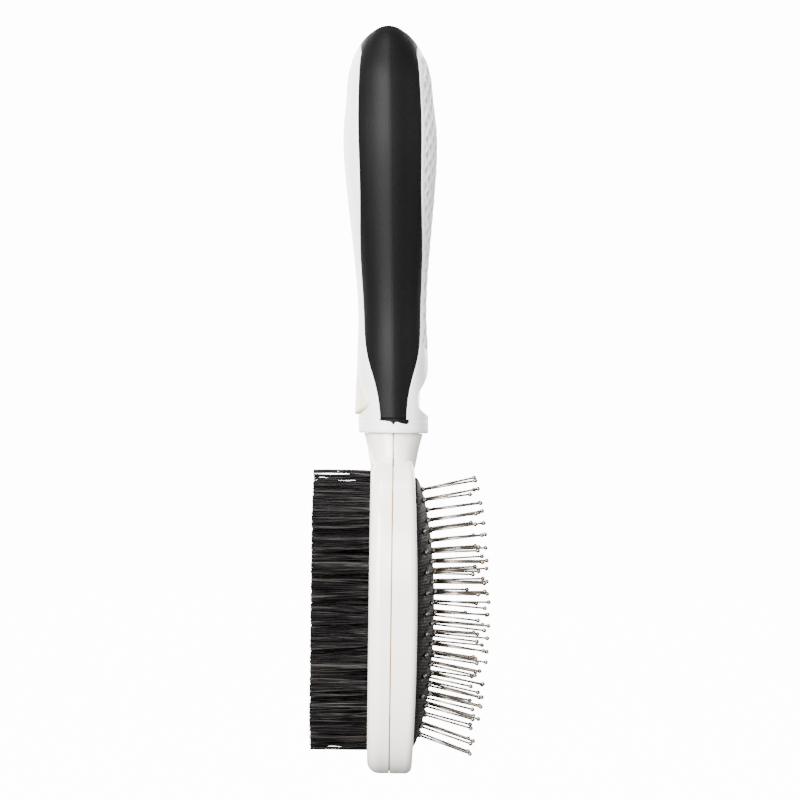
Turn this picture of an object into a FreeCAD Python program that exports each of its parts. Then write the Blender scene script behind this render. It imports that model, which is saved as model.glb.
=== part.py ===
import FreeCAD, Part

import math
import os

from FreeCAD import Placement, Rotation, Vector

# Double-sided grooming brush: a two-colour handle, and a pull-off head that has nylon tufts on
# one face and steel pins in a rubber cushion on the other.
# Frame: +Z runs up the handle, -X is the bristle side, +X the pin side. The origin is the centre
# of the collar's lower face, where the head meets the handle. Millimetres and degrees.

DIMENSIONS = (
    # handle: half thickness of the oval section at each height
    ("rake", 1.43, "lean of the handle towards the bristle side, degrees"),
    ("width_ratio", 1.12, "handle section, width over thickness"),
    ("foot_z", 0, "lower end of the handle"),
    ("foot_half", 10.4, "half thickness there"),
    ("window_z", 11, "across the windows"),
    ("window_half", 10.55, "half thickness there"),
    ("thumb_z", 22, "behind the thumb"),
    ("thumb_half", 10.6, "half thickness there"),
    ("waist_z", 34, "slimmest section"),
    ("waist_half", 10.15, "half thickness there"),
    ("finger_z", 46, "under the fingers"),
    ("finger_half", 10.6, "half thickness there"),
    ("rise_z", 58, "where the palm swell begins"),
    ("rise_half", 11.7, "half thickness there"),
    ("palm_z", 70, "under the palm"),
    ("palm_half", 12.9, "half thickness there"),
    ("belly_z", 81, "lower side of the thickest stretch"),
    ("belly_half", 13.8, "half thickness there"),
    ("swell_z", 91, "upper side of the thickest stretch"),
    ("swell_half", 13.85, "half thickness there"),
    ("butt_z", 100, "where the rounded butt begins"),
    ("butt_half", 12.95, "half thickness there"),
    ("butt_length", 21.9, "length of the rounded butt"),
    ("rubber", 1.4, "thickness of the overmoulded rubber"),
    ("wall", 3.2, "handle wall above the socket"),
    ("cavity_floor", 46, "lower end of the hollow handle"),
    ("collar_height", 3.9, "collar"),
    ("collar_wall", 1.5, "collar"),
    ("collar_round", 0.5, "rounding of the collar's edges"),
    ("shadow_gap", 0.25, "between the collar and the rubber"),
    ("spigot_over", 0.4, "top of the spigot above the collar"),
    # socket, window and release button
    ("socket_half", 8.0, "socket, half thickness"),
    ("socket_side", 9.0, "socket, half width"),
    ("socket_depth", 41, "socket"),
    ("running_gap", 0.3, "tang in socket, and button in window"),
    ("tang_length", 38, "tang"),
    ("window_low", 5.2, "lower edge of the teardrop window"),
    ("window_wide", 9.6, "height at which the window is widest"),
    ("window_side", 8.9, "half width of the window there"),
    ("window_tip", 20.6, "upper tip of the window"),
    ("tip_side", 0.9, "half width of the window's rounded tip"),
    ("tip_round", 0.6, "height of the rounded tip"),
    ("flank_pull", 4, "how long the window's flanks keep their direction at each end"),
    ("flank_lean", 1.6, "how far the flanks lean outwards at the tip"),
    ("face_low_z", 2, "lower section of the button's face"),
    ("face_low_half", 11.75, "button face from the axis there"),
    ("face_high_z", 22, "upper section of the button's face"),
    ("face_high_half", 10.6, "button face from the axis there"),
    ("face_ratio", 1.1, "button face, width over thickness"),
    ("button_back", 6.4, "back of the button from the axis"),
    ("leaf", 1.6, "thickness of the sprung leaf"),
    ("leaf_side", 4.5, "half width of the sprung leaf"),
    ("leaf_x", -6.1, "middle of the sprung leaf"),
    ("bead_z", 34, "root bead of the leaf, the button's pivot"),
    ("bead_radius", 1.1, "root bead"),
    ("bead_side", 3.2, "half length of the root bead"),
    ("bead_gap", 0.1, "bead in its seat"),
    ("pocket_back", 0.8, "floor of the tang's button pocket from the parting plane"),
    ("pocket_under", 1.6, "pocket below the window"),
    ("pocket_over", 1, "pocket above the window"),
    ("leaf_travel", 3.2, "room behind the leaf"),
    # head
    ("neck_half", 8.8, "half thickness at the joint with the collar"),
    ("neck_side", 9.6, "half width at the joint"),
    ("joint_gap", 0.15, "between the neck and the collar"),
    ("throat_z", -4.5, "neck, upper section"),
    ("throat_half", 7.7, "half thickness there"),
    ("throat_side", 9.8, "half width there"),
    ("flare_z", -8.5, "neck, where it meets the paddle"),
    ("flare_half", 6.95, "half thickness there"),
    ("flare_side", 11.0, "half width there"),
    ("root_z", -12, "neck, buried in the paddle"),
    ("root_half", 6.15, "half thickness there"),
    ("root_side", 14.0, "half width there"),
    ("head_middle", -54.75, "middle height of the paddle"),
    ("head_long", 47.15, "half length of the paddle"),
    ("head_wide", 27.5, "half width of the paddle"),
    ("bristle_face", 6.65, "bristle side face from the parting plane"),
    ("pin_face", 7.75, "pin side face from the parting plane, at its crown"),
    ("crown_radius", 830, "crown of the pin side face"),
    ("crown_z", -58, "height of the crown"),
    ("bristle_rim", 3.6, "rounding of the bristle side rim"),
    ("pin_rim", 2.0, "rounding of the pin side rim"),
    # tufts
    ("field_middle", -53.8, "middle height of the bristle field"),
    ("tuft_pitch", 7.2, "tufts along a column"),
    ("tuft_row", 6.3, "between columns"),
    ("tuft_trim", 23.8, "trimmed tips from the parting plane"),
    ("tuft_start", 3.05, "folded root from the parting plane"),
    ("tuft_root", 1.2, "radius at the folded root"),
    ("tuft_tip", 2.6, "radius at the trimmed tips"),
    ("hole_radius", 1.5, "tuft hole"),
    ("hole_floor", 1.65, "tuft hole's floor from the parting plane"),
    ("anchor_wide", 2.5, "anchor wire, across the hole"),
    ("anchor_deep", 1.3, "anchor wire, along the hole"),
    ("anchor_thick", 0.35, "anchor wire"),
    # cushion and pins
    ("pad_middle", -53.5, "middle height of the cushion"),
    ("pad_long", 40.2, "half length of the cushion"),
    ("pad_wide", 21.0, "half width of the cushion"),
    ("pad_base", 7.1, "where the dome starts, from the parting plane"),
    ("pad_height", 5.8, "height of the dome"),
    ("pad_wall", 1.8, "thickness of the rubber"),
    ("recess_floor", 2.6, "floor of the recess, from the parting plane"),
    ("bead_out", 1.1, "bead of the cushion beyond its skirt"),
    ("bead_high", 1.5, "bead of the cushion, along X"),
    ("pad_gap", 0.1, "cushion in its recess"),
    ("pin_pitch", 6.1, "pins along a column"),
    ("pin_row", 5.3, "between columns"),
    ("pin_length", 17, "exposed length of a pin with its ball"),
    ("pin_radius", 0.325, "pin wire"),
    ("ball_radius", 0.675, "ball tip"),
    ("shoulder_radius", 0.75, "swaged shoulder on the cushion's surface"),
    ("shoulder_high", 0.8, "swaged shoulder"),
    ("shoulder_lift", 0.25, "shoulder above the cushion's surface"),
    ("pin_hole_gap", 0.06, "pin in the cushion"),
    ("flange_radius", 0.95, "flat head behind the rubber"),
    ("flange_high", 0.45, "flat head behind the rubber"),
    ("flange_depth", 2.25, "flat head under the cushion's surface"),
    ("fan_long", 0.43, "tilt of the pins along the head, degrees per millimetre"),
    ("fan_middle", -46, "height at which the pins stand square"),
    ("fan_wide", 1.25, "tilt of the pins across the head, degrees per millimetre"),
)

HEAD_POWER = 2.8     # how square the paddle's outline is: 2 is an ellipse
PAD_POWER = 3.0      # the same for the cushion
FIELD_POWER = 4.0    # the same for the bristle field
DOME_POWER = 0.7     # how full the dome's profile is
BUTT_ANGLES = (20, 38, 55, 70, 80, 87)   # sections round the butt, degrees
DOME_ANGLES = (0, 7, 15, 25, 36, 48, 60, 72, 84)   # sections over the cushion, degrees
OUTLINE_POINTS = 36  # points of the curve through a paddle or cushion outline
FAR = 140            # longer than anything it has to cut
NEAR = 30            # past the surface of the handle or the head
PANEL_TOP = 117.5    # top of a white panel where it runs out to the silhouette
PANEL_EDGE = (       # distance from the handle's axis, and height, along a white panel's edge
    (4.0, -2), (4.0, 6), (5.5, 15), (7.6, 22.5), (8.6, 36), (9.4, 54),
    (9.3, 72), (9.6, 92), (9.2, 106), (8.5, 113), (7.8, 116),
)

doc = FreeCAD.newDocument("pin_and_bristle_brush")
sheet = doc.addObject("Spreadsheet::Sheet", "Dims")
for row, (alias, value, note) in enumerate(DIMENSIONS, 1):
    sheet.set(f"A{row}", note)
    sheet.set(f"B{row}", str(value))
    sheet.setAlias(f"B{row}", alias)
doc.recompute()


def size(alias):
    return float(sheet.get(alias))


def add(kind, name, **sizes):
    """A document object with its sizes bound to the sheet."""
    item = doc.addObject(kind, name)
    for prop, expression in sizes.items():
        item.setExpression(prop.replace("__", "."), expression)
    return item


def feature(name, shape):
    """A shape that no parametric object makes; its sizes come from the sheet."""
    item = doc.addObject("Part::Feature", name)
    item.Shape = shape
    return item


def cut(name, base, tool):
    item = doc.addObject("Part::Cut", name)
    item.Base = base
    item.Tool = tool
    return item


def fuse(name, *shapes):
    item = doc.addObject("Part::MultiFuse", name)
    item.Shapes = list(shapes)
    return item


def common(name, *shapes):
    item = doc.addObject("Part::MultiCommon", name)
    item.Shapes = list(shapes)
    return item


def group(name, items):
    item = doc.addObject("Part::Compound", name)
    item.Links = list(items)
    return item


def box(name, low, high):
    """A cutting box between two corners, each coordinate an expression or a number."""
    item = doc.addObject("Part::Box", name)
    for prop, axis, a, b in zip(("Length", "Width", "Height"), "xyz", low, high):
        item.setExpression(prop, f"({b}) - ({a})")
        item.setExpression(f"Placement.Base.{axis}", f"{a}")
    return item


def extrude(name, base, forward, back="0"):
    """Extrudes a flat shape along +X, or back along -X."""
    item = doc.addObject("Part::Extrusion", name)
    item.Base = base
    item.DirMode = "Custom"
    item.Dir = Vector(1, 0, 0)
    item.Solid = True
    item.setExpression("LengthFwd", forward)
    item.setExpression("LengthRev", back)
    return item


def round_rim(name, base, radius, wanted):
    """Rounds the edges of base for which wanted(edge) is true."""
    doc.recompute()
    item = doc.addObject("Part::Fillet", name)
    item.Base = base
    edges = enumerate(base.Shape.Edges, 1)
    item.Edges = [(n, radius, radius) for n, edge in edges if wanted(edge)]
    return item


def oval(name, height, half, side, centred=False):
    """A horizontal oval, half thick along X and side wide along Y, on the raked or the plain axis."""
    item = add("Part::Ellipse", name, MajorRadius=side, MinorRadius=half)
    item.Placement = Placement(Vector(), Rotation(Vector(0, 0, 1), 90))
    item.setExpression("Placement.Base.z", height)
    if not centred:
        item.setExpression("Placement.Base.x", f"-({height}) * tan(Dims.rake * 1 deg)")
    return item


def loft(name, sections):
    item = doc.addObject("Part::Loft", name)
    item.Sections = sections
    item.Solid = True
    item.MaxDegree = 3
    return item


def prism(name, low, high, half, side):
    """An upright oval prism on the plain axis."""
    ends = [oval(f"{name}_{n}", z, half, side, centred=True) for n, z in enumerate((low, high))]
    return loft(name, ends)


# ---------------------------------------------------------------- handle
STATIONS = (
    "foot", "window", "thumb", "waist", "finger", "rise", "palm", "belly", "swell", "butt"
)


def handle_form(name, inset):
    """The handle's outer form, or a form that lies inset under it."""
    sections = []
    for station in STATIONS:
        half = f"Dims.{station}_half"
        sections.append(
            oval(
                f"{name}_{station}",
                f"Dims.{station}_z",
                f"{half} - {inset}",
                f"{half} * Dims.width_ratio - {inset}",
            )
        )
    for angle in BUTT_ANGLES:
        half = f"(Dims.butt_half - {inset}) * cos({angle} deg)"
        side = f"(Dims.butt_half * Dims.width_ratio - {inset}) * cos({angle} deg)"
        height = f"Dims.butt_z + (Dims.butt_length - {inset}) * sin({angle} deg)"
        sections.append(oval(f"{name}_butt_{angle}", height, half, side))
    return loft(name, sections)


def axis_x(height):
    return -height * math.tan(math.radians(size("rake")))


def panel_cutter(name, way):
    """Covers one white panel: its edge on the handle, seen along Y, drawn out sideways."""
    points = [Vector(axis_x(z) + way * x, -FAR / 2, z) for x, z in PANEL_EDGE]
    outside = [Vector(way * NEAR, -FAR / 2, z) for z in (PANEL_TOP, PANEL_EDGE[0][1])]
    curve = Part.BSplineCurve()
    curve.interpolate(points)
    corners = [points[-1], *outside, points[0]]
    sides = [Part.LineSegment(a, b).toShape() for a, b in zip(corners, corners[1:])]
    face = Part.Face(Part.Wire([curve.toShape(), *sides]))
    return feature(name, face.extrude(Vector(0, FAR, 0)))


def teardrop(name, gap):
    """The window's outline, or the button's with a gap all round, in the plane of Y and Z."""
    side = size("window_side") - gap
    wide = size("window_wide")
    low = size("window_low") + gap
    tip = size("window_tip") - 2 * gap
    blunt = size("tip_side") - gap
    shoulder = tip - size("tip_round")
    pull = size("flank_pull")
    bottom = Part.Arc(
        Part.Ellipse(Vector(0, side, wide), Vector(0, 0, low), Vector(0, 0, wide)), 0, math.pi
    ).toShape()
    ends = {1: Vector(0, side, wide), -1: Vector(0, -side, wide)}
    flanks = []
    for way, start in ends.items():
        flank = Part.BezierCurve()
        flank.setPoles(
            [
                start,
                Vector(0, way * side, wide + pull),
                Vector(0, way * (blunt + size("flank_lean")), tip - pull),
                Vector(0, way * blunt, shoulder),
            ]
        )
        flanks.append(flank.toShape())
    top = Part.Arc(
        Vector(0, blunt, shoulder), Vector(0, 0, tip), Vector(0, -blunt, shoulder)
    ).toShape()
    wire = Part.Wire(Part.__sortEdges__([bottom, flanks[0], top, flanks[1]]))
    return feature(name, Part.Face(wire))


def half_space(name, way, rake):
    """Everything on one side of the parting plane, straight or leaning with the handle."""
    item = add("Part::Box", name, Length=f"{FAR}", Width=f"{2 * FAR}", Height=f"{2 * FAR}")
    lean = Rotation(Vector(0, 1, 0), -size("rake") if rake else 0)
    corner = Vector(-FAR if way < 0 else 0, -FAR, -FAR)
    item.Placement = Placement(lean.multVec(corner), lean)
    return item


PARTS = []


def part(item):
    """Keeps a finished piece; its name is its file's name."""
    PARTS.append(item)


outer = handle_form("handle_form", "0")
under_rubber = handle_form("under_rubber", "Dims.rubber")
hollow_form = handle_form("hollow_form", "Dims.wall")
hollow_clip = box("hollow_clip", (-FAR, -FAR, "Dims.cavity_floor"), (FAR, FAR, FAR))
hollow = common("hollow", hollow_form, hollow_clip)
socket = prism("socket", f"-{NEAR}", "Dims.socket_depth", "Dims.socket_half", "Dims.socket_side")
window = extrude("window", teardrop("window_outline", 0), f"{NEAR}", f"{NEAR}")
above_collar = box("above_collar", (-FAR, -FAR, "Dims.collar_height"), (FAR, FAR, FAR))
rubber_start = "Dims.collar_height + Dims.shadow_gap"
above_gap = box("above_gap", (-FAR, -FAR, rubber_start), (FAR, FAR, FAR))

# The shells carry on down inside the collar as a spigot round the socket.
spigot_half = "(Dims.foot_half - Dims.collar_wall)"
spigot_side = "(Dims.foot_half * Dims.width_ratio - Dims.collar_wall)"
spigot_top = "Dims.collar_height + Dims.spigot_over"
spigot_core = prism("spigot_core", "0", spigot_top, spigot_half, spigot_side)

for side, way in (("bristle_side", -1), ("pin_side", 1)):
    half = half_space(f"handle_half_{side}", way, rake=True)
    form = common(f"form_{side}", outer, half)
    sleeve = cut(f"sleeve_{side}", form, under_rubber)
    skin = cut(f"skin_{side}", sleeve, panel_cutter(f"panel_{side}", way))
    part(common(f"grip_{side}", skin, above_gap))
    shell = common(f"upper_{side}", cut(f"hard_form_{side}", form, skin), above_collar)
    shell = cut(f"hollow_{side}", shell, hollow)
    spigot = common(f"spigot_{side}", spigot_core, half)
    shell = cut(f"socketed_{side}", fuse(f"shell_and_spigot_{side}", shell, spigot), socket)
    part(cut(f"handle_shell_{side}", shell, window))

# The collar is one ring, drawn on its own plane, padded up and rounded.
collar_body = doc.addObject("PartDesign::Body", "handle_collar")
collar_sketch = collar_body.newObject("Sketcher::SketchObject", "collar_sketch")
ground = [f for f in collar_body.Origin.OriginFeatures if f.Role == "XY_Plane"][0]
collar_sketch.AttachmentSupport = [(ground, "")]
collar_sketch.MapMode = "FlatFace"
for grown in (0, -size("collar_wall")):
    x = size("foot_half") + grown
    y = size("foot_half") * size("width_ratio") + grown
    collar_sketch.addGeometry(Part.Ellipse(Vector(0, y, 0), Vector(x, 0, 0), Vector(0, 0, 0)))
collar_pad = collar_body.newObject("PartDesign::Pad", "collar_pad")
collar_pad.Profile = collar_sketch
collar_pad.setExpression("Length", "Dims.collar_height")
doc.recompute()


def outer_collar_edge(edge):
    return abs(edge.BoundBox.XMax - size("foot_half")) < 0.01 and edge.BoundBox.ZLength < 0.01


collar_fillet = collar_body.newObject("PartDesign::Fillet", "collar_round_edges")
collar_edges = enumerate(collar_pad.Shape.Edges, 1)
names = [f"Edge{n}" for n, edge in collar_edges if outer_collar_edge(edge)]
collar_fillet.Base = (collar_pad, names)
collar_fillet.setExpression("Radius", "Dims.collar_round")
collar_body.Tip = collar_fillet
part(collar_body)


# ---------------------------------------------------------------- head
def outline_point(turn, middle, long, wide, power, x=0.0):
    """A point of a rounded outline |y/wide|^power + |z/long|^power = 1, at a turn about X."""
    c, s = math.cos(turn), math.sin(turn)
    y = wide * math.copysign(abs(s) ** (2 / power), s)
    z = long * math.copysign(abs(c) ** (2 / power), c)
    return Vector(x, y, middle + z)


def outline(middle, long, wide, power, x=0.0):
    turns = [2 * math.pi * (n + 0.5) / OUTLINE_POINTS for n in range(OUTLINE_POINTS)]
    curve = Part.BSplineCurve()
    curve.interpolate([outline_point(a, middle, long, wide, power, x) for a in turns], True)
    return Part.Wire([curve.toShape()])


def pad_outline(x, scale=1.0, grown=0.0):
    long = (size("pad_long") + grown) * scale
    wide = (size("pad_wide") + grown) * scale
    return outline(size("pad_middle"), long, wide, PAD_POWER, x)


def pad_prism(low, high, grown):
    return Part.Face(pad_outline(low, 1.0, grown)).extrude(Vector(high - low, 0, 0))


paddle_wire = outline(size("head_middle"), size("head_long"), size("head_wide"), HEAD_POWER)
paddle_outline = feature("paddle_outline", Part.Face(paddle_wire))

bristle_slab = extrude("bristle_slab", paddle_outline, "0", "Dims.bristle_face")
bristle_slab_round = round_rim(
    "bristle_slab_round",
    bristle_slab,
    size("bristle_rim"),
    lambda edge: edge.BoundBox.XMax < -size("bristle_face") + 0.01,
)

pin_slab_tall = extrude("pin_slab_tall", paddle_outline, "Dims.pin_face + 2")
crown = add(
    "Part::Cylinder",
    "crown",
    Radius="Dims.crown_radius",
    Height=f"{2 * FAR}",
    Placement__Base__x="Dims.pin_face - Dims.crown_radius",
    Placement__Base__z="Dims.crown_z",
)
crown.Placement = Placement(Vector(0, -FAR, 0), Rotation(Vector(1, 0, 0), -90))
recess = feature("recess", pad_prism(size("recess_floor"), NEAR, size("pad_gap")))
pin_slab = cut("pin_slab", common("pin_slab_crowned", pin_slab_tall, crown), recess)
pin_slab_round = round_rim(
    "pin_slab_round",
    pin_slab,
    size("pin_rim"),
    lambda edge: edge.BoundBox.XMin > 1 and edge.BoundBox.YLength > 1.9 * size("head_wide"),
)

neck_sections = [
    oval("neck_top", "-Dims.joint_gap", "Dims.neck_half", "Dims.neck_side", centred=True),
    oval("neck_throat", "Dims.throat_z", "Dims.throat_half", "Dims.throat_side", centred=True),
    oval("neck_flare", "Dims.flare_z", "Dims.flare_half", "Dims.flare_side", centred=True),
    oval("neck_root", "Dims.root_z", "Dims.root_half", "Dims.root_side", centred=True),
]
neck = loft("neck", neck_sections)
tang_half = "Dims.socket_half - Dims.running_gap"
tang_side = "Dims.socket_side - Dims.running_gap"
tang = prism("tang", "-3", "Dims.tang_length", tang_half, tang_side)

left = half_space("head_half_bristle_side", -1, rake=False)
right = half_space("head_half_pin_side", 1, rake=False)
stem = fuse("stem", neck, tang)
bristle_blank = fuse("bristle_blank", bristle_slab_round, common("stem_bristle", stem, left))
pin_blank = fuse("pin_blank", pin_slab_round, common("stem_pin", stem, right))


# ---------------------------------------------------------------- tufts
def field_columns(count, row, pitch, middle, inside):
    """The Y of each column, and its heights: neighbouring columns are half a pitch apart."""
    columns = []
    for n in range(-(count // 2), count // 2 + 1):
        shift = 0.5 if inside.staggers(n) else 0.0
        most = int(inside.long / pitch) + 1
        heights = [middle + (k + shift) * pitch for k in range(-most, most + 1)]
        columns.append((n * row, [z for z in heights if inside.holds(n * row, z - middle)]))
    return columns


class Field:
    """Where tufts or pins may stand: within a rounded outline."""

    def __init__(self, wide, long, power, odd_first):
        self.wide, self.long, self.power, self.odd_first = wide, long, power, odd_first

    def holds(self, y, z):
        return abs(y / self.wide) ** self.power + abs(z / self.long) ** self.power <= 1

    def staggers(self, n):
        return (n % 2 == 0) == self.odd_first


tuft_field = Field(size("head_wide") - 6, size("pad_long") + 0.4, FIELD_POWER, odd_first=True)
tuft_columns = field_columns(
    7, size("tuft_row"), size("tuft_pitch"), size("field_middle"), tuft_field
)
TO_BRISTLE_SIDE = Rotation(Vector(0, 1, 0), -90)

holes, anchors = [], []
for number, (y, heights) in enumerate(tuft_columns, 1):
    tufts = []
    for k, z in enumerate(heights):
        tuft = add(
            "Part::Cone",
            f"tuft_{number}_{k}",
            Radius1="Dims.tuft_root",
            Radius2="Dims.tuft_tip",
            Height="Dims.tuft_trim - Dims.tuft_start",
        )
        tuft.Placement = Placement(Vector(-size("tuft_start"), y, z), TO_BRISTLE_SIDE)
        tufts.append(tuft)
        hole = add(
            "Part::Cylinder", f"hole_{number}_{k}", Radius="Dims.hole_radius", Height=f"{NEAR}"
        )
        hole.Placement = Placement(Vector(-size("hole_floor"), y, z), TO_BRISTLE_SIDE)
        holes.append(hole)
        anchor = add(
            "Part::Box",
            f"anchor_{number}_{k}",
            Length="Dims.anchor_deep",
            Width="Dims.anchor_wide",
            Height="Dims.anchor_thick",
        )
        low = Vector(
            -size("hole_floor") - size("anchor_deep"),
            y - size("anchor_wide") / 2,
            z - size("anchor_thick") / 2,
        )
        anchor.Placement = Placement(low, Rotation())
        anchors.append(anchor)
    part(group(f"tuft_column_{number}", tufts))
part(group("tuft_anchors", anchors))

# ---------------------------------------------------------------- release button
button_prism = extrude(
    "button_prism", teardrop("button_outline", size("running_gap")), "-Dims.button_back", f"{NEAR}"
)
button_face = loft(
    "button_face",
    [
        oval(
            f"button_face_{end}",
            f"Dims.face_{end}_z",
            f"Dims.face_{end}_half",
            f"Dims.face_{end}_half * Dims.face_ratio",
        )
        for end in ("low", "high")
    ],
)
button_cap = common("button_cap", button_prism, button_face)
leaf_plate = box(
    "leaf_plate",
    ("Dims.leaf_x - Dims.leaf / 2", "-Dims.leaf_side", "Dims.window_low + Dims.leaf"),
    ("Dims.leaf_x + Dims.leaf / 2", "Dims.leaf_side", "Dims.bead_z"),
)
bead_end = Vector(size("leaf_x"), -size("bead_side"), size("bead_z"))
root_bead = add("Part::Cylinder", "root_bead", Radius="Dims.bead_radius", Height="2 * Dims.bead_side")
root_bead.Placement = Placement(bead_end, Rotation(Vector(1, 0, 0), -90))
part(fuse("release_button", button_cap, leaf_plate, root_bead))

pocket = box(
    "button_pocket",
    (-NEAR, "-Dims.window_side", "Dims.window_low - Dims.pocket_under"),
    ("-Dims.pocket_back", "Dims.window_side", "Dims.window_tip + Dims.pocket_over"),
)
leaf_slot = box(
    "leaf_slot",
    (-NEAR, "-Dims.leaf_side - Dims.running_gap", "Dims.window_tip"),
    ("Dims.leaf_x + Dims.leaf_travel", "Dims.leaf_side + Dims.running_gap", "Dims.bead_z"),
)
bead_seat = add(
    "Part::Cylinder",
    "bead_seat",
    Radius="Dims.bead_radius + Dims.bead_gap",
    Height="2 * Dims.bead_side + 2 * Dims.bead_gap",
)
bead_seat.Placement = Placement(
    bead_end - Vector(0, size("bead_gap"), 0), Rotation(Vector(1, 0, 0), -90)
)
part(
    cut(
        "head_shell_bristle_side",
        bristle_blank,
        fuse("bristle_side_cuts", group("tuft_holes", holes), pocket, leaf_slot, bead_seat),
    )
)


# ---------------------------------------------------------------- cushion and pins
def dome(inset):
    """The swollen front of the cushion, or its inside, inset under it."""
    base, height = size("pad_base"), size("pad_height") - inset
    scales = [math.cos(math.radians(angle)) for angle in DOME_ANGLES]
    sections = [
        pad_outline(base + height * (1 - s * s) ** DOME_POWER, s, -inset) for s in scales
    ]
    return Part.makeLoft(sections, True, True)


def dome_x(y, z):
    """The cushion's surface above a point of the head."""
    across = abs(y / size("pad_wide")) ** PAD_POWER
    along = abs((z - size("pad_middle")) / size("pad_long")) ** PAD_POWER
    from_middle = min((across + along) ** (1 / PAD_POWER), 1.0)
    return size("pad_base") + size("pad_height") * (1 - from_middle**2) ** DOME_POWER


def pin_way(y, z):
    """The direction in which a pin stands."""
    up = math.radians(size("fan_long") * (z - size("fan_middle")))
    out = math.radians(size("fan_wide") * y)
    return Vector(math.cos(up) * math.cos(out), math.sin(out), math.sin(up) * math.cos(out))


def pin_solid():
    """One pin along +Z, with the cushion's surface at 0."""
    bottom = -size("flange_depth") - size("flange_high")
    tip = size("pin_length") - size("ball_radius")
    wire = Part.makeCylinder(size("pin_radius"), tip - bottom, Vector(0, 0, bottom))
    flange = Part.makeCylinder(size("flange_radius"), size("flange_high"), Vector(0, 0, bottom))
    shoulder_low = Vector(0, 0, size("shoulder_lift"))
    shoulder = Part.makeCylinder(size("shoulder_radius"), size("shoulder_high"), shoulder_low)
    ball = Part.makeSphere(size("ball_radius"), Vector(0, 0, tip))
    return wire.multiFuse([flange, shoulder, ball])


pin_field = Field(size("pad_wide") * 0.925, size("pad_long") * 0.925, PAD_POWER, odd_first=True)
pin_columns = field_columns(7, size("pin_row"), size("pin_pitch"), size("pad_middle"), pin_field)
one_pin = pin_solid()
pin_holes = []
for number, (y, heights) in enumerate(pin_columns, 1):
    pins = []
    for z in heights:
        stand = Placement(Vector(dome_x(y, z), y, z), Rotation(Vector(0, 0, 1), pin_way(y, z)))
        pin = one_pin.copy()
        pin.Placement = stand
        pins.append(pin)
        hole_radius = size("pin_radius") + size("pin_hole_gap")
        hole = Part.makeCylinder(hole_radius, 4 * size("pad_wall"), Vector(0, 0, -2 * size("pad_wall")))
        hole.Placement = stand
        pin_holes.append(hole)
    part(feature(f"pin_column_{number}", Part.makeCompound(pins)))

floor = size("recess_floor") + size("pad_gap")
bead_top = floor + size("bead_high")
pad_wall = size("pad_wall")
solid_pad = pad_prism(floor, bead_top, size("bead_out")).multiFuse(
    [pad_prism(floor, size("pad_base"), 0.0), dome(0.0)]
)
inside = pad_prism(floor - 1, size("pad_base"), -pad_wall).multiFuse([dome(pad_wall)])
part(feature("cushion_pad", solid_pad.cut([inside, *pin_holes])))

groove_top = bead_top + size("pad_gap")
groove_out = size("bead_out") + size("pad_gap")
groove = feature("bead_groove", pad_prism(size("recess_floor"), groove_top, groove_out))
part(cut("head_shell_pin_side", pin_blank, groove))

# ---------------------------------------------------------------- checks and files
doc.recompute()
for item in doc.Objects:
    if "Invalid" in item.State or "Error" in item.State:
        raise RuntimeError(f"{item.Name} failed: {item.State}")
for item in PARTS:
    if item.Shape.isNull() or not item.Shape.isValid() or not item.Shape.Solids:
        raise RuntimeError(f"{item.Name} is not a valid solid")

os.makedirs("parts", exist_ok=True)
for item in PARTS:
    item.Shape.exportStep(f"parts/{item.Name}.step")
    solids = len(item.Shape.Solids)
    print(f"{item.Name}: {solids} solid(s), {item.Shape.Volume:.0f} mm3")
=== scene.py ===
import math

import bmesh
import bpy
import numpy as np
from bpy.props import FloatProperty, FloatVectorProperty, IntProperty, PointerProperty
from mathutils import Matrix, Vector


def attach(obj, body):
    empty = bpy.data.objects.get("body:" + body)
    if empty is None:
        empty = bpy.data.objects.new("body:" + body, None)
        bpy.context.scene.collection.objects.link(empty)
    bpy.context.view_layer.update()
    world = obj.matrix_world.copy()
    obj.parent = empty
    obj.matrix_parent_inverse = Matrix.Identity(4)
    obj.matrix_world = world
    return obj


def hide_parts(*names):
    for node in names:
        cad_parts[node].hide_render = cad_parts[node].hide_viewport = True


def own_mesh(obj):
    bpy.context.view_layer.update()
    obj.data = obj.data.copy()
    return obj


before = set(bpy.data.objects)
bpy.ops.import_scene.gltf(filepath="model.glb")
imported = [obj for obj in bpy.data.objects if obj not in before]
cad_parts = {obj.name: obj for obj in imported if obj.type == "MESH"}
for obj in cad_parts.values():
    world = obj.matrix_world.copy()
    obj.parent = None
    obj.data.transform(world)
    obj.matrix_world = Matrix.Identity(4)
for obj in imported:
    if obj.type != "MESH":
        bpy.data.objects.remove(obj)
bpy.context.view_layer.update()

bl_info = {
    "name": "Pin and Bristle Grooming Brush",
    "version": (1, 0, 0),
    "blender": (4, 5, 0),
    "location": "View3D > Sidebar > Brush",
    "description": "Builds a double-sided grooming brush round its CAD frame",
    "category": "Object",
}

MM = 0.001
MERGE = 2e-6          # points nearer than this become one, metres
STUDIO_WHITE = 14.0   # strength at which the floor and the surroundings show white

# ---------------------------------------------------------------- sizes, millimetres
RAKE = math.tan(math.radians(1.43))   # lean of the handle towards the bristle side
WIDTH_RATIO = 1.12                    # handle section, width over thickness
STATIONS = (                          # half thickness and height of the handle's sections
    (10.4, 0), (10.55, 11), (10.6, 22), (10.15, 34), (10.6, 46), (11.7, 58),
    (12.9, 70), (13.8, 81), (13.85, 91), (12.95, 100),
)
BUTT_ANGLES = (20, 38, 55, 70, 80, 87, 95, 103)
BUTT_LENGTH = 21.9
PANEL_EDGE = (                        # from the handle's axis, and height, along a white panel
    (4.0, -2), (4.0, 6), (5.5, 15), (7.6, 22.5), (8.6, 36), (9.4, 54),
    (9.3, 72), (9.6, 92), (9.2, 106), (8.5, 113), (7.8, 116),
)
PANEL_TOP, PANEL_TAPER = 116.7, 4.0
COLLAR_TOP = 3.9
SPIGOT = (8.9, 10.15)
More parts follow.
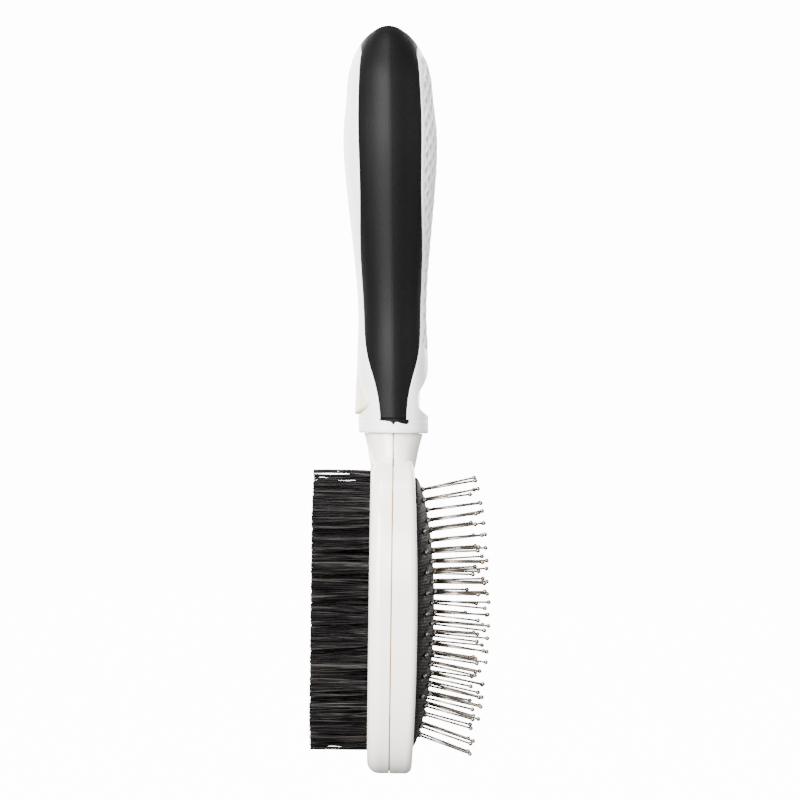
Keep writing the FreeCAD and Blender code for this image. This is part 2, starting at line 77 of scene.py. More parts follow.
SOCKET = (8.0, 9.0)
SOCKET_DEPTH = 41.0
TANG = (7.7, 8.7)
TANG_LENGTH = 38.0
RUBBER = 1.4
LIP_STEPS = np.array([0, 0.05, 0.12, 0.22, 0.36, 0.6])   # from a rounded edge inwards
RUNNING_GAP = 0.3
WINDOW_SIDE, WINDOW_WIDEST, WINDOW_LOW, WINDOW_TIP, WINDOW_BLUNT = 8.9, 9.6, 5.2, 20.6, 0.9
BUTTON_BACK = 6.4
LEAF_SIDE, LEAF_LOW, LEAF_TOP, LEAF_BACK, LEAF_FRONT = 4.5, 6.8, 33.6, -6.9, -5.3
BEAD_X, BEAD_Z, BEAD_RADIUS, BEAD_SIDE = -6.1, 34.0, 1.1, 3.2   # root of the button's leaf
NECK = ((8.8, 9.6, -0.15), (7.7, 9.8, -4.5), (6.95, 11.0, -8.5), (6.15, 14.0, -12.0))
HEAD_MIDDLE, HEAD_LONG, HEAD_WIDE, HEAD_POWER = -54.75, 47.15, 27.5, 2.8
BRISTLE_FACE, BRISTLE_RIM = 6.65, 3.6
PIN_FACE, PIN_RIM, CROWN_RADIUS, CROWN_Z = 7.75, 2.0, 830.0, -58.0
PAD_MIDDLE, PAD_LONG, PAD_WIDE, PAD_POWER = -53.5, 40.2, 21.0, 3.0
PAD_BASE, PAD_HEIGHT, DOME_POWER = 7.1, 5.8, 0.7
RECESS_FLOOR, PAD_GAP = 2.6, 0.1
TUFT_MIDDLE, TUFT_PITCH, TUFT_ROW = -53.8, 7.2, 6.3
TUFT_ROOT, TUFT_TRIM = -3.05, 23.8
TUFT_FIELD = (21.5, 40.6, 4.0)
TUFT_ENDS = (-95.1, -11.15)           # heights at which the field's ends are level
HOLE_RADIUS, HOLE_FLOOR = 1.5, 1.65
PIN_PITCH, PIN_ROW, PIN_LENGTH, PIN_RADIUS, BALL_RADIUS = 6.1, 5.3, 17.0, 0.325, 0.675
PIN_BURIED, SHOULDER_RADIUS, PIN_GIVE = 2.0, 0.78, 2.5
PIN_FIELD = (PAD_WIDE * 0.925, PAD_LONG * 0.925, PAD_POWER)


# ---------------------------------------------------------------- forms
def linear(code, alpha=1.0):
    """A linear colour from an sRGB hex code."""
    parts = [int(code[k : k + 2], 16) / 255 for k in (0, 2, 4)]
    return (*(c / 12.92 if c <= 0.04045 else ((c + 0.055) / 1.055) ** 2.4 for c in parts), alpha)


def link(piece):
    bpy.context.scene.collection.objects.link(piece)
    return piece


def surface(name, points, faces, marks=None):
    """A piece from points in millimetres: doubles merged, faces turned outwards.

    Marks are numbers or points stored at the corners for a material to read.
    """
    form = bmesh.new()
    kinds = form.verts.layers
    layers = [
        ((kinds.float if values.ndim == 1 else kinds.float_vector).new(label), values.tolist())
        for label, values in (marks or {}).items()
    ]
    corners = [form.verts.new(p) for p in (np.asarray(points, float) * MM).tolist()]
    for layer, values in layers:
        for corner, value in zip(corners, values):
            corner[layer] = value
    for face in faces:
        form.faces.new([corners[k] for k in face])
    bmesh.ops.remove_doubles(form, verts=form.verts, dist=MERGE)
    bmesh.ops.dissolve_degenerate(form, dist=MERGE / 2, edges=form.edges)
    bmesh.ops.recalc_face_normals(form, faces=form.faces)
    mesh = bpy.data.meshes.new(name)
    form.to_mesh(mesh)
    form.free()
    return link(bpy.data.objects.new(name, mesh))


def grid(rows, cols, start=0, wrap_cols=False, wrap_rows=False):
    """Quads of points stored row by row from index start."""
    i = np.arange(rows if wrap_rows else rows - 1)[:, None]
    j = np.arange(cols if wrap_cols else cols - 1)[None, :]
    a, b = (i % rows) * cols, ((i + 1) % rows) * cols
    k = (j + 1) % cols
    quads = np.stack([a + j, a + k, b + k, b + j], -1)
    return (quads.reshape(-1, 4) + start).tolist()


def band(first, second):
    """Quads between two lines of point indices."""
    pairs = zip(first, first[1:], second[1:], second)
    return [list(p) for p in pairs]


def loop_solid(name, loops, ring=False, marks=None):
    """A closed form from loops of points: capped at both ends, or joined into a ring."""
    loops = np.asarray(loops, float)
    rows, cols = loops.shape[:2]
    faces = grid(rows, cols, wrap_cols=True, wrap_rows=ring)
    if not ring:
        faces += [list(range(cols)), list(range((rows - 1) * cols, rows * cols))]
    return surface(name, loops.reshape(-1, 3), faces, marks)


def shade(piece, degrees=35):
    piece.data.shade_smooth()
    piece.data.set_sharp_from_angle(angle=math.radians(degrees))
    return piece


def settle(piece):
    """Turns a piece with modifiers into plain mesh."""
    bpy.context.view_layer.update()
    graph = bpy.context.evaluated_depsgraph_get()
    mesh = bpy.data.meshes.new_from_object(piece.evaluated_get(graph), depsgraph=graph)
    piece.modifiers.clear()
    piece.data = mesh
    mesh.name = piece.name
    return piece


def combine(piece, tools, operation):
    """Joins closed forms to a piece, or cuts them out of it."""
    for tool in tools:
        change = piece.modifiers.new("form", "BOOLEAN")
        change.operation = operation
        change.solver = "EXACT"
        change.object = tool
    settle(piece)
    for tool in tools:
        bpy.data.objects.remove(tool)
    return piece


def finish_piece(piece, body, node_names, material):
    """Gives a finished piece its material, its body and the nodes it stands for."""
    piece.data.materials.clear()
    piece.data.materials.append(material)
    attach(piece, body)
    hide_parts(*node_names)


def spline(points, fine=4000):
    """A natural cubic spline through points, as many short steps."""
    points = np.asarray(points, float)
    chord = np.r_[0, np.cumsum(np.linalg.norm(np.diff(points, axis=0), axis=1))]
    gaps, last = np.diff(chord), len(points) - 1
    system, right = np.eye(last + 1), np.zeros_like(points)
    for k in range(1, last):
        system[k, k - 1 : k + 2] = gaps[k - 1], 2 * (gaps[k - 1] + gaps[k]), gaps[k]
        rise = (points[k + 1] - points[k]) / gaps[k] - (points[k] - points[k - 1]) / gaps[k - 1]
        right[k] = 6 * rise
    bend = np.linalg.solve(system, right)
    t = np.linspace(0, chord[-1], fine)
    k = np.clip(np.searchsorted(chord, t) - 1, 0, last - 1)
    h = gaps[k][:, None]
    a = ((chord[k + 1] - t) / gaps[k])[:, None]
    b = 1 - a
    cubic = (a**3 - a) * bend[k] + (b**3 - b) * bend[k + 1]
    return a * points[k] + b * points[k + 1] + cubic * h * h / 6


def round_in(distance, radius):
    """Depth of a rounded edge at a distance from it."""
    near = np.clip(radius - distance, 0, radius)
    return radius - np.sqrt(radius**2 - near**2)


# ---------------------------------------------------------------- handle
def handle_profile():
    """Distance along the handle, half thickness, height and outward normal, in fine steps."""
    butt = [
        (STATIONS[-1][0] * math.cos(a), STATIONS[-1][1] + BUTT_LENGTH * math.sin(a))
        for a in map(math.radians, BUTT_ANGLES)
    ]
    curve = spline(STATIONS + tuple(butt))
    curve = curve[: np.argmax(curve[:, 0] < 0)]
    curve = np.vstack([curve, [0, curve[-1, 1]]])
    along = np.r_[0, np.cumsum(np.linalg.norm(np.diff(curve, axis=0), axis=1))]
    slope = np.gradient(curve, along, axis=0)
    slope /= np.linalg.norm(slope, axis=1)[:, None]
    return along, curve[:, 0], curve[:, 1], slope[:, 1], -slope[:, 0]


PROFILE = handle_profile()


class Rows:
    """Horizontal rows of the handle at distances along its profile."""

    def __init__(self, along):
        self.along = along
        shape = [np.interp(along, PROFILE[0], line) for line in PROFILE[1:]]
        self.half, self.z, self.out, self.up = shape
        self.half[along >= PROFILE[0][-1]] = 0
        edge = spline(PANEL_EDGE)
        across = np.interp(self.z, edge[:, 1], edge[:, 0])
        share = np.clip(across / np.maximum(self.half, 1e-6), 0, 1)
        taper = np.clip((self.z - PANEL_TOP + PANEL_TAPER) / PANEL_TAPER, 0, 1)
        self.turn = np.arccos(share) * np.sqrt(1 - taper**2)
        self.panel = self.z < PANEL_TOP - 1e-6
        self.turn[~self.panel] = 0

    def at(self, way, turn, lift):
        """Points on the form: turn from the middle of a panel, lift outwards."""
        half, z, out, up = (a[:, None] for a in (self.half, self.z, self.out, self.up))
        height = z + lift * up
        x = -height * RAKE + way * (half + lift * out) * np.cos(turn)
        y = (half * WIDTH_RATIO + lift * out) * np.sin(turn)
        return np.stack(np.broadcast_arrays(x, y, height), -1)


def along_at(height):
    top = np.argmax(PROFILE[2])
    return float(np.interp(height, PROFILE[2][:top], PROFILE[0][:top]))


def handle_rows(low, step):
    """Rows from a height up to the pole; one of them is the panels' top."""
    start, end, pole = along_at(low), along_at(PANEL_TOP), PROFILE[0][-1]
    lower = np.linspace(start, end, int((end - start) / step) + 2)
    upper = np.linspace(end, pole, 30)
    return Rows(np.r_[lower, upper[1:]])


def lattice_height(across, z, pitch_across, pitch_along, width):
    """Raised crossing ribs, 0 in the cells and 1 on the ribs."""
    ribs = []
    for way in (1, -1):
        place = across / pitch_across + way * z / pitch_along
        near = np.abs(place - np.round(place))
        ribs.append(np.clip(1 - near / width, 0, 1))
    return np.maximum(*ribs)


def shell_half(name, way, sizes):
    """Half of the hard handle: a panel flush with the rubber, a bed under it, and a socket."""
    rows = handle_rows(COLLAR_TOP, 0.3)
    reach = rows.turn * rows.half
    share = LIP_STEPS[None, :] / np.maximum(reach, 1.2)[:, None]
    inner = np.linspace(-1, 1, 90)[None, 1:-1] * (1 - share[:, -1:])
    u = np.hstack([share - 1, inner, 1 - share[:, ::-1]])
    turn = u * rows.turn[:, None]
    from_edge = (1 - np.abs(u)) * reach[:, None]
    lift = -round_in(from_edge, sizes.lip / MM)
    cell_shade_share = np.zeros_like(lift)
    if way > 0:
        # moulded grip texture: crossing ribs that fade out towards the panel's edge and the window
        across = turn * rows.half[:, None]
        ribs = lattice_height(
            across, rows.z[:, None], sizes.diamond_across / MM, sizes.diamond_along / MM, 0.3
        )
        clear = np.clip((from_edge - 1.3) / 0.5, 0, 1)
        clear = clear * np.clip((rows.z[:, None] - 24) / 2, 0, 1)
        clear = clear * np.clip((PANEL_TOP - 3 - rows.z[:, None]) / 2, 0, 1)
        lift = lift + clear * (ribs - 0.6) * sizes.diamond_height / MM
        # share of painted shade in the cells between the ribs, none on the ribs
        cell_shade_share = clear * (1 - ribs)
    lift[~rows.panel] = -RUBBER
    quarter = math.pi / 2
    bed = np.linspace(0, 1, 6)[None, :]
    low_bed = -quarter + (quarter - rows.turn[:, None]) * bed
    high_bed = rows.turn[:, None] + (quarter - rows.turn[:, None]) * bed
    turns = np.hstack([low_bed, turn, high_bed])
    lifts = np.hstack([np.full_like(low_bed, -RUBBER), lift, np.full_like(high_bed, -RUBBER)])
    outer = rows.at(way, turns, lifts)

    def oval(size, turn, z):
        return np.stack(
            [way * size[0] * np.cos(turn), size[1] * np.sin(turn), np.full_like(turn, z)], -1
        )

    spigot = [oval(SPIGOT, turns[0], z) for z in (0.0, COLLAR_TOP)]
    liner = [oval(SOCKET, turns[0], z) for z in (0.0, COLLAR_TOP)]
    for k, z in enumerate(rows.z):
        if z < SOCKET_DEPTH:
            liner.append(oval(SOCKET, turns[k], z))
        else:
            first = rows.z[k - 1] < SOCKET_DEPTH
            point = (0, 0, SOCKET_DEPTH) if first else (outer[k, 0, 0], 0, outer[k, 0, 2])
            liner.append(np.tile(np.array(point, float), (turns.shape[1], 1)))
    # the cells' painted shade, stored at the outer points for the material to read
    cell = np.zeros((2, len(rows.z) + 2, turns.shape[1]))
    cell[0, 2:, bed.size : -bed.size] = cell_shade_share
    marks = {"cell": cell.ravel()}
    return skin(name, np.concatenate([spigot, outer]), np.array(liner), marks)


def add_walls(points, faces, outer, inner, edges=None):
    """Adds an outer and an inner grid of points to a form, joined along edges of the grid."""
    start, (rows, cols) = len(points), outer.shape[:2]
    size = rows * cols
    index = np.arange(start, start + size).reshape(rows, cols)
    points.extend(np.concatenate([outer, inner]).reshape(-1, 3))
    faces += grid(rows, cols, start) + grid(rows, cols, start + size)
    for line in edges(index) if edges else (index[0], index[-1], index[:, 0], index[:, -1]):
        faces += band(line.tolist(), (line + size).tolist())


def skin(name, outer, inner, marks):
    """A closed form between an outer and an inner grid of points."""
    points, faces = [], []
    add_walls(points, faces, outer, inner)
    return surface(name, points, faces, marks)


def ragged_rubber_skin(way, side):
    """A ragged skin of rubber over the collar's top edge, reaching lower on the pin side and at
    the parting line.
    """
    share = np.linspace(0, 1, 29)
    if way > 0:
        knots = (0.9, 1.05, 1.3, 1.25, 1.3, 1.15, 1.0, 1.05, 0.85, 0.75, 0.6, 0.7, 1.0, 1.6)
    else:
        knots = (0.15, 0.3, 0.2, 0.35, 0.45, 0.3, 0.35, 0.5, 0.55, 0.4, 0.75, 0.65, 1.1, 1.6)
    low = COLLAR_TOP + 0.1 - np.interp(share * (len(knots) - 1), range(len(knots)), knots)
    row = Rows(np.array([along_at(COLLAR_TOP + 0.1)]))
    start = row.turn[0] - (0.07 if way > 0 else 0.02)
    turn = side * (start + (math.pi / 2 - start) * share)
    down = np.array([0, 0.25, 0.5, 0.75, 0.92, 1.0])[:, None]
    z = COLLAR_TOP + 0.25 + (low - COLLAR_TOP - 0.25) * down
    top = np.argmax(PROFILE[2])
    half = np.interp(z, PROFILE[2][:top], PROFILE[1][:top])
    ease = np.minimum(1, np.minimum(share, 1.02 - share) / 0.04)

    def level(lift):
        x = -z * RAKE + way * (half + lift) * np.cos(turn)
        return np.stack([x, (half * WIDTH_RATIO + lift) * np.sin(turn), z], -1)

    outer = level(0.06 + 0.16 * ease * np.sqrt(np.clip(1 - down**4, 0, 1)))
    return outer, level(np.full_like(z, 0.01))


def grip_half(name, way, sizes):
    """One rubber cover: a strip beside each edge of a panel, joined over the butt."""
    rows = handle_rows(COLLAR_TOP + 0.1, 0.4)
    quarter = math.pi / 2
    open_turn = quarter - rows.turn
    reach = np.maximum(open_turn * rows.half * (1 + WIDTH_RATIO) / 2, 0.02)
    creases = np.array([1.6, 1.1, 0.7, 0.4, 0.2, 0.09, 0.0])
    near = LIP_STEPS[None, :] / np.maximum(reach, 3)[:, None]
    far = 1 - creases[None, :] / np.maximum(reach, 4)[:, None]
    middle = near[:, -1:] + (far[:, :1] - near[:, -1:]) * np.linspace(0, 1, 22)[None, 1:-1]
    share = np.hstack([near, middle, far])
    turn = rows.turn[:, None] + open_turn[:, None] * share
    beside = share * reach[:, None]
    to_line = (1 - share) * reach[:, None]
    lip = round_in(beside, sizes.lip / MM) * rows.panel[:, None]
    end = round_in(rows.along - rows.along[0], 0.5)[:, None]
    fade = np.clip(0.35 + rows.half[:, None] / 5, 0, 1)
    roof = sizes.ridge / MM * np.clip(1 - to_line / 7, 0, 1) ** 1.3 * fade
    crease = 0.05 * np.exp(-((to_line / 0.1) ** 2))
    lift = roof - lip - end - crease
    points, faces = [], []
    top = int(np.sum(rows.panel))
    for side in (1, -1):
        levels = [rows.at(way, side * turn, level) for level in (lift, 0 * lift + 0.04 - RUBBER)]
        add_walls(
            points, faces, *levels, lambda index: (index[0], index[:, -1], index[: top + 1, 0])
        )
        add_walls(points, faces, *ragged_rubber_skin(way, side))
    return surface(name, points, faces)


def teardrop(gap, count=40):
    """The window's outline as Y and Z, or the button's with a gap all round."""
    side, wide, low = WINDOW_SIDE - gap, WINDOW_WIDEST, WINDOW_LOW + gap
    tip, blunt = WINDOW_TIP - 2 * gap, WINDOW_BLUNT - gap
    angles = np.linspace(-math.pi / 2, 0, count)
    bottom = np.stack([side * np.cos(angles), wide + (wide - low) * np.sin(angles)], -1)
    t = np.linspace(0, 1, count)[1:, None]
    poles = np.array([(side, wide), (side, wide + 4), (blunt + 1.6, tip - 4), (blunt, tip - 0.6)])
    flank = (
        (1 - t) ** 3 * poles[0]
        + 3 * t * (1 - t) ** 2 * poles[1]
        + 3 * t**2 * (1 - t) * poles[2]
        + t**3 * poles[3]
    )
    angles = np.linspace(0, math.pi / 2, 9)[1:]
    top = np.stack([blunt * np.cos(angles), tip - 0.6 + 0.6 * np.sin(angles)], -1)
    half = np.vstack([bottom, flank, top])
    return np.vstack([half, (half * (-1, 1))[-2:0:-1]])


def flat_loops(outline, places):
    """The same outline of Y and Z at several X."""
    return [np.column_stack([np.full(len(outline), x), outline]) for x in places]


# ---------------------------------------------------------------- head
def rounded_outline(middle, long, wide, power, grown=0.0, count=288):
    """Points round a rounded outline as Y and Z, evenly spaced, and their outward normals."""
    turn = np.linspace(0, 2 * math.pi, 20001)
    s, c = np.sin(turn), np.cos(turn)
    y = (wide + grown) * np.sign(s) * np.abs(s) ** (2 / power)
    z = (long + grown) * np.sign(c) * np.abs(c) ** (2 / power)
    along = np.r_[0, np.cumsum(np.hypot(np.diff(y), np.diff(z)))]
    even = np.linspace(0, along[-1], count + 1)[:-1]
    points = np.column_stack([np.interp(even, along, y), np.interp(even, along, z)])
    step = np.roll(points, -1, 0) - np.roll(points, 1, 0)
    normals = np.column_stack([-step[:, 1], step[:, 0]])
    normals /= np.linalg.norm(normals, axis=1)[:, None]
    normals *= np.sign(np.sum(normals * points))
    return points + (0, middle), normals


def ring_at(outline, inset, x):
    """A loop of the outline moved inwards, at one X or at an X for each point."""
    points, normals = outline
    moved = points - normals * inset
    x = x(moved[:, 1]) if callable(x) else np.full(len(moved), x)
    return np.column_stack([x, moved])


def pin_face_x(z):
    return PIN_FACE - (z - CROWN_Z) ** 2 / (2 * CROWN_RADIUS)


def half_oval_loops(sections, way, groove, depth):
    """Loops round half an oval, closed by the parting plane, with half a groove along its edge."""
    turn = np.linspace(-math.pi / 2, math.pi / 2, 97)
    loops = []
    for half, side, z in sections:
        x = np.maximum(half * np.cos(turn), groove)
        y = side * np.sin(turn)
        ends = np.array([(groove, side - depth), (0, side - depth)])
        x = np.r_[ends[::-1, 0], x, ends[:, 0]]
        y = np.r_[-ends[::-1, 1], y, ends[:, 1]]
        loops.append(np.column_stack([way * x, y, np.full_like(x, z)]))
    return loops


def stem(name, way, groove, depth):
    """Half of the neck, and half of the tang above it."""
    curve = spline(NECK, 200)[::8]
    neck = [tuple(p) for p in curve] + [tuple(NECK[-1])]
    top = neck[0]
    eased = [(top[0] - d, top[1] - d, top[2] - drop) for d, drop in ((0.15, 0), (0.04, 0.05))]
    neck = eased + [(top[0], top[1], top[2] - 0.15)] + [n for n in neck if n[2] < -0.5]
    tang = [(*TANG, -3), (*TANG, TANG_LENGTH - 0.9)]
    tang += [(TANG[0] - 0.25, TANG[1] - 0.25, TANG_LENGTH - 0.25)]
    tang += [(TANG[0] - 0.9, TANG[1] - 0.9, TANG_LENGTH)]
    neck_form = loop_solid(f"{name}_neck", half_oval_loops(neck, way, groove, depth))
    tang_form = loop_solid(f"{name}_tang", half_oval_loops(tang, way, 0.05, 0.2))
    return [neck_form, tang_form]


def box_form(name, low, high):
    """A cutting box between two corners."""
    (x0, y0, z0), (x1, y1, z1) = low, high
    corners = [(y0, z0), (y1, z0), (y1, z1), (y0, z1)]
    return loop_solid(name, flat_loops(np.array(corners, float), (x0, x1)))


def rod(name, radius, side, count):
    """A rod across the head, at the root of the button's leaf."""
    turn = np.linspace(0, 2 * math.pi, count + 1)[:-1]
    x, z = BEAD_X + radius * np.cos(turn), BEAD_Z + radius * np.sin(turn)
    return loop_solid(name, [np.column_stack([x, np.full(count, y), z]) for y in (-side, side)])


def seam_slots(name):
    """Small slots in the seam at the root of the neck and under the collar, front and back."""
    return [
        box_form(f"{name}_{z0}_{low}", (-0.24, low, z0), (0.24, high, z1))
        for z0, z1 in ((-9.8, -7.8), (-0.95, 1.0))
        for low, high in ((-16, -7.6), (7.6, 16))
    ]


def rim_loops(paddle, way, seam, depth):
    """The paddle's edge at the parting plane: half of the seam's groove, and its corner."""
    corner = 0.06
    places = ((depth, 0), (depth, seam), (corner, seam), (0, seam + corner))
    return [ring_at(paddle, inset, way * x) for inset, x in places]


def columns(field, row, pitch, middle):
    """The Y of each column and its heights; neighbours are half a pitch apart."""
    wide, long, power = field
    found = []
    for n in range(-3, 4):
        shift = 0.5 if n % 2 == 0 else 0.0
        heights = [middle + (k + shift) * pitch for k in range(-9, 10)]
        inside = [
            z
            for z in heights
            if abs(n * row / wide) ** power + abs((z - middle) / long) ** power <= 1
        ]
        found.append((n * row, inside))
    return found


TUFTS = columns(TUFT_FIELD, TUFT_ROW, TUFT_PITCH, TUFT_MIDDLE)
PINS = columns(PIN_FIELD, PIN_ROW, PIN_PITCH, PAD_MIDDLE)


def dome_x(y, z):
    """The cushion's surface above a point of the head."""
    across = np.abs(y / PAD_WIDE) ** PAD_POWER + np.abs((z - PAD_MIDDLE) / PAD_LONG) ** PAD_POWER
    u = np.clip(across ** (1 / PAD_POWER), 0, 1)
    return PAD_BASE + PAD_HEIGHT * (1 - u**2) ** DOME_POWER


def pin_way(y, z):
    """The direction in which a pin stands: the field fans out from its middle."""
    up, out = math.radians(0.43 * (z + 46)), math.radians(1.25 * y)
    return (math.cos(up) * math.cos(out), math.sin(out), math.sin(up) * math.cos(out))


# ---------------------------------------------------------------- materials
MATH, VECTOR_MATH, XYZ = "ShaderNodeMath", "ShaderNodeVectorMath", "ShaderNodeCombineXYZ"
MIX, RANGE, BUMP = "ShaderNodeMix", "ShaderNodeMapRange", "ShaderNodeBump"
NOISE, RANDOM = "ShaderNodeTexNoise", "FunctionNodeRandomValue"


def live(source):
    """A node's first output in use; anything else as it is."""
    if isinstance(source, bpy.types.Node):
        return next(socket for socket in source.outputs if socket.enabled)
    return source


def add_node(tree, kind, inputs=None, **settings):
    """Adds a node; an input is a value, an output, a node for its output, or a list of nodes."""
    node = tree.nodes.new(kind)
    for name, value in settings.items():
        setattr(node, name, value)
    for name, value in (inputs or {}).items():
        for source in map(live, value if isinstance(value, list) else [value]):
            if isinstance(source, bpy.types.NodeSocket):
                tree.links.new(source, node.inputs[name])
            else:
                node.inputs[name].default_value = source
    return node


def drive(body, **sources):
    """Links nodes to a shader's inputs."""
    for name, source in sources.items():
        body.id_data.links.new(live(source), body.inputs[name.replace("_", " ")])


def new_material(name, **shader):
    """A material with its shader's own settings, and its object coordinates."""
    material = bpy.data.materials.new(name)
    material.use_nodes = True
    tree = material.node_tree
    tree.nodes.clear()
    values = {key.replace("_", " "): value for key, value in shader.items()}
    body = add_node(tree, "ShaderNodeBsdfPrincipled", values)
    add_node(tree, "ShaderNodeOutputMaterial", {"Surface": body})
    return material, tree, body, add_node(tree, "ShaderNodeTexCoord").outputs["Object"]


def toned(colour, red, green, blue):
    """A colour with its channels scaled."""
    return (colour[0] * red, colour[1] * green, colour[2] * blue, 1.0)


def moulded(name, colour, shade_colour, mottle_mm, grain_mm, grain_depth_mm, **shader):
    """A moulded surface: faint patches of a second colour, and a grain left by the mould."""
    material, tree, body, place = new_material(name, **shader)
    patches, grain = (
        add_node(tree, NOISE, {"Vector": place, "Scale": 1 / (size * MM), "Detail": detail})
        for size, detail in ((mottle_mm, 4), (grain_mm, 3))
    )
    mix = add_node(tree, MIX, {0: patches, 6: colour, 7: shade_colour}, data_type="RGBA")
    relief = {"Height": grain, "Distance": grain_depth_mm * MM, "Strength": 1.0}
    bump = add_node(tree, BUMP, relief)
    drive(body, Base_Color=mix, Normal=bump)
    return material


def tint(material, share, colour):
    """Mixes a colour over a material's own where share is 1."""
    tree = material.node_tree
    body = next(n for n in tree.nodes if n.type == "BSDF_PRINCIPLED")
    plain = body.inputs["Base Color"].links[0].from_socket
    drive(body, Base_Color=add_node(tree, MIX, {0: share, 6: plain, 7: colour}, data_type="RGBA"))


def satin_abs(colour):
    """Moulded ABS from a lightly blasted mould: a cool white with a soft, broken highlight."""
    warm = toned(colour, 0.97, 0.97, 0.97)
    material = moulded("satin_moulded_abs", colour, warm, 9, 0.5, 0.012, Roughness=0.34, IOR=1.54)
    # Painted shade: the cells of the grip texture are painted darker, as shade in their hollows.
    cell = add_node(material.node_tree, "ShaderNodeAttribute", attribute_name="cell")
    tint(material, cell.outputs["Fac"], linear("C9CACB"))
    return material


def gloss_abs(colour):
    """Moulded ABS from a polished mould: a warm white with a clear, slightly wavy highlight."""
    deep = toned(colour, 0.97, 0.955, 0.93)
    material = moulded("glossy_moulded_abs", colour, deep, 14, 4.0, 0.02, Roughness=0.16, IOR=1.54)
    # The weld along the parting plane shows tan at the bottom of its groove.
    tree = material.node_tree
    place = next(n for n in tree.nodes if n.type == "TEX_COORD").outputs["Object"]
    split = add_node(tree, "ShaderNodeSeparateXYZ", {0: place})
    away = add_node(tree, MATH, {0: split.outputs["X"]}, operation="ABSOLUTE")
    reach = {"Value": away, "From Min": 0.24 * MM, "From Max": 0.18 * MM}
    tint(material, add_node(tree, RANGE, reach), linear("B08A5E"))
    return material


def soft_tpe(colour):
    """Overmoulded thermoplastic rubber: charcoal, matt, with a fine eroded grain."""
    return moulded(
        "grained_thermoplastic_rubber", colour, toned(colour, 1.35, 1.35, 1.35), 5, 0.42, 0.05,
        Roughness=0.5, IOR=1.5, Specular_IOR_Level=0.1,
    )


def acetal(colour):
    """Moulded acetal: a creamy off-white, waxy and slightly translucent."""
    return moulded(
        "moulded_acetal", colour, toned(colour, 0.97, 0.94, 0.88), 6, 0.8, 0.01,
        Roughness=0.32, IOR=1.48, Subsurface_Weight=0.12, Subsurface_Scale=0.002,
    )


def twill_cloth(colour, lit_thread, pitch):
    """Woven polyester bonded to rubber: rows of small raised threads; their crowns carry a painted
    highlight and the gaps between them painted shade.
    """
    material, tree, body, place = new_material(
        "woven_polyester_facing", Roughness=0.6, IOR=1.5, Specular_IOR_Level=0.1
    )
    # The threads cross at 45 degrees to the brush; a sine of each way gives their crowns. The real
    # weave is finer, and is drawn this coarse so that its crowns still show.
    laid = add_node(tree, "ShaderNodeAttribute", attribute_name="cloth").outputs["Vector"]
    split = add_node(tree, "ShaderNodeSeparateXYZ", {0: laid}).outputs
    turn = 2 * math.pi / (pitch * math.sqrt(2))
    waves = []
    for way in (1.0, -1.0):
        reach = {0: split["Y"], 1: way, 2: split["Z"]}
        along = add_node(tree, MATH, reach, operation="MULTIPLY_ADD")
        wide = add_node(tree, MATH, {0: along, 1: turn}, operation="MULTIPLY")
        waves.append(add_node(tree, MATH, {0: wide}, operation="SINE"))
    cross = add_node(tree, MATH, {0: waves[0], 1: waves[1]}, operation="MULTIPLY")
    crown = add_node(tree, RANGE, {"Value": cross, "From Min": -0.25, "From Max": 0.6})
    fuzz = add_node(tree, NOISE, {"Vector": place, "Scale": 1 / (0.5 * MM), "Detail": 4})
    crown_light_share = add_node(tree, MATH, {0: crown, 1: fuzz}, operation="MULTIPLY")
    # painted highlight and shade: the weave's pattern is real, its light crowns and dark gaps are
    # painted into the colour
    mix = add_node(tree, MIX, {0: crown_light_share, 6: colour, 7: lit_thread}, data_type="RGBA")
    bump = add_node(tree, BUMP, {"Height": crown, "Distance": 0.16 * MM, "Strength": 1.0})
    drive(body, Base_Color=mix, Normal=bump)
    return material


def nylon_filament(colour, light):
    """Extruded nylon: black, smooth and shiny along its length; grey streaks in its colour are a
    painted highlight.
    """
    material, tree, body, place = new_material(
        "extruded_black_nylon", IOR=1.53, Specular_IOR_Level=0.12
    )
    # Painted highlight: the grey streaks stand for the shine along the filaments. One filament's
    # tone is too fine to show, so a streak is a few filaments wide.
    stretch = add_node(tree, "ShaderNodeMapping", {"Vector": place, "Scale": (0.012, 1, 1)})
    tone = add_node(tree, NOISE, {"Vector": stretch, "Scale": 1 / (1.1 * MM), "Detail": 3})
    highlight_streak = add_node(tree, RANGE, {"Value": tone, "From Min": 0.5, "From Max": 0.66})
    mix = add_node(tree, MIX, {0: highlight_streak, 6: colour, 7: light}, data_type="RGBA")
    rough = add_node(tree, RANGE, {"Value": tone, "To Min": 0.25, "To Max": 0.5})
    drive(body, Base_Color=mix, Roughness=rough)
    return material


def plated_steel(name, colour, dull, scale_mm, low, high):
    """Drawn steel wire, nickel plated and tumbled: bright, with faint duller patches."""
    material, tree, body, place = new_material(name, Metallic=1.0)
    patches = add_node(tree, NOISE, {"Vector": place, "Scale": 1 / (scale_mm * MM), "Detail": 3})
    mix = add_node(tree, MIX, {0: patches, 6: colour, 7: dull}, data_type="RGBA")
    rough = add_node(tree, RANGE, {"Value": patches, "To Min": low, "To Max": high})
    drive(body, Base_Color=mix, Roughness=rough)
    return material


# ---------------------------------------------------------------- geometry nodes
def node_tree(name, **sockets):
    """A geometry node tree with named inputs of each kind; returns it and its group input."""
    tree = bpy.data.node_groups.new(name, "GeometryNodeTree")
    inputs = [("Geometry", "Geometry")]
    inputs += [(label, kind) for kind, labels in sockets.items() for label in labels]
    for label, kind in inputs:
        tree.interface.new_socket(label, in_out="INPUT", socket_type=f"NodeSocket{kind}")
    tree.interface.new_socket("Geometry", in_out="OUTPUT", socket_type="NodeSocketGeometry")
    return tree, add_node(tree, "NodeGroupInput").outputs


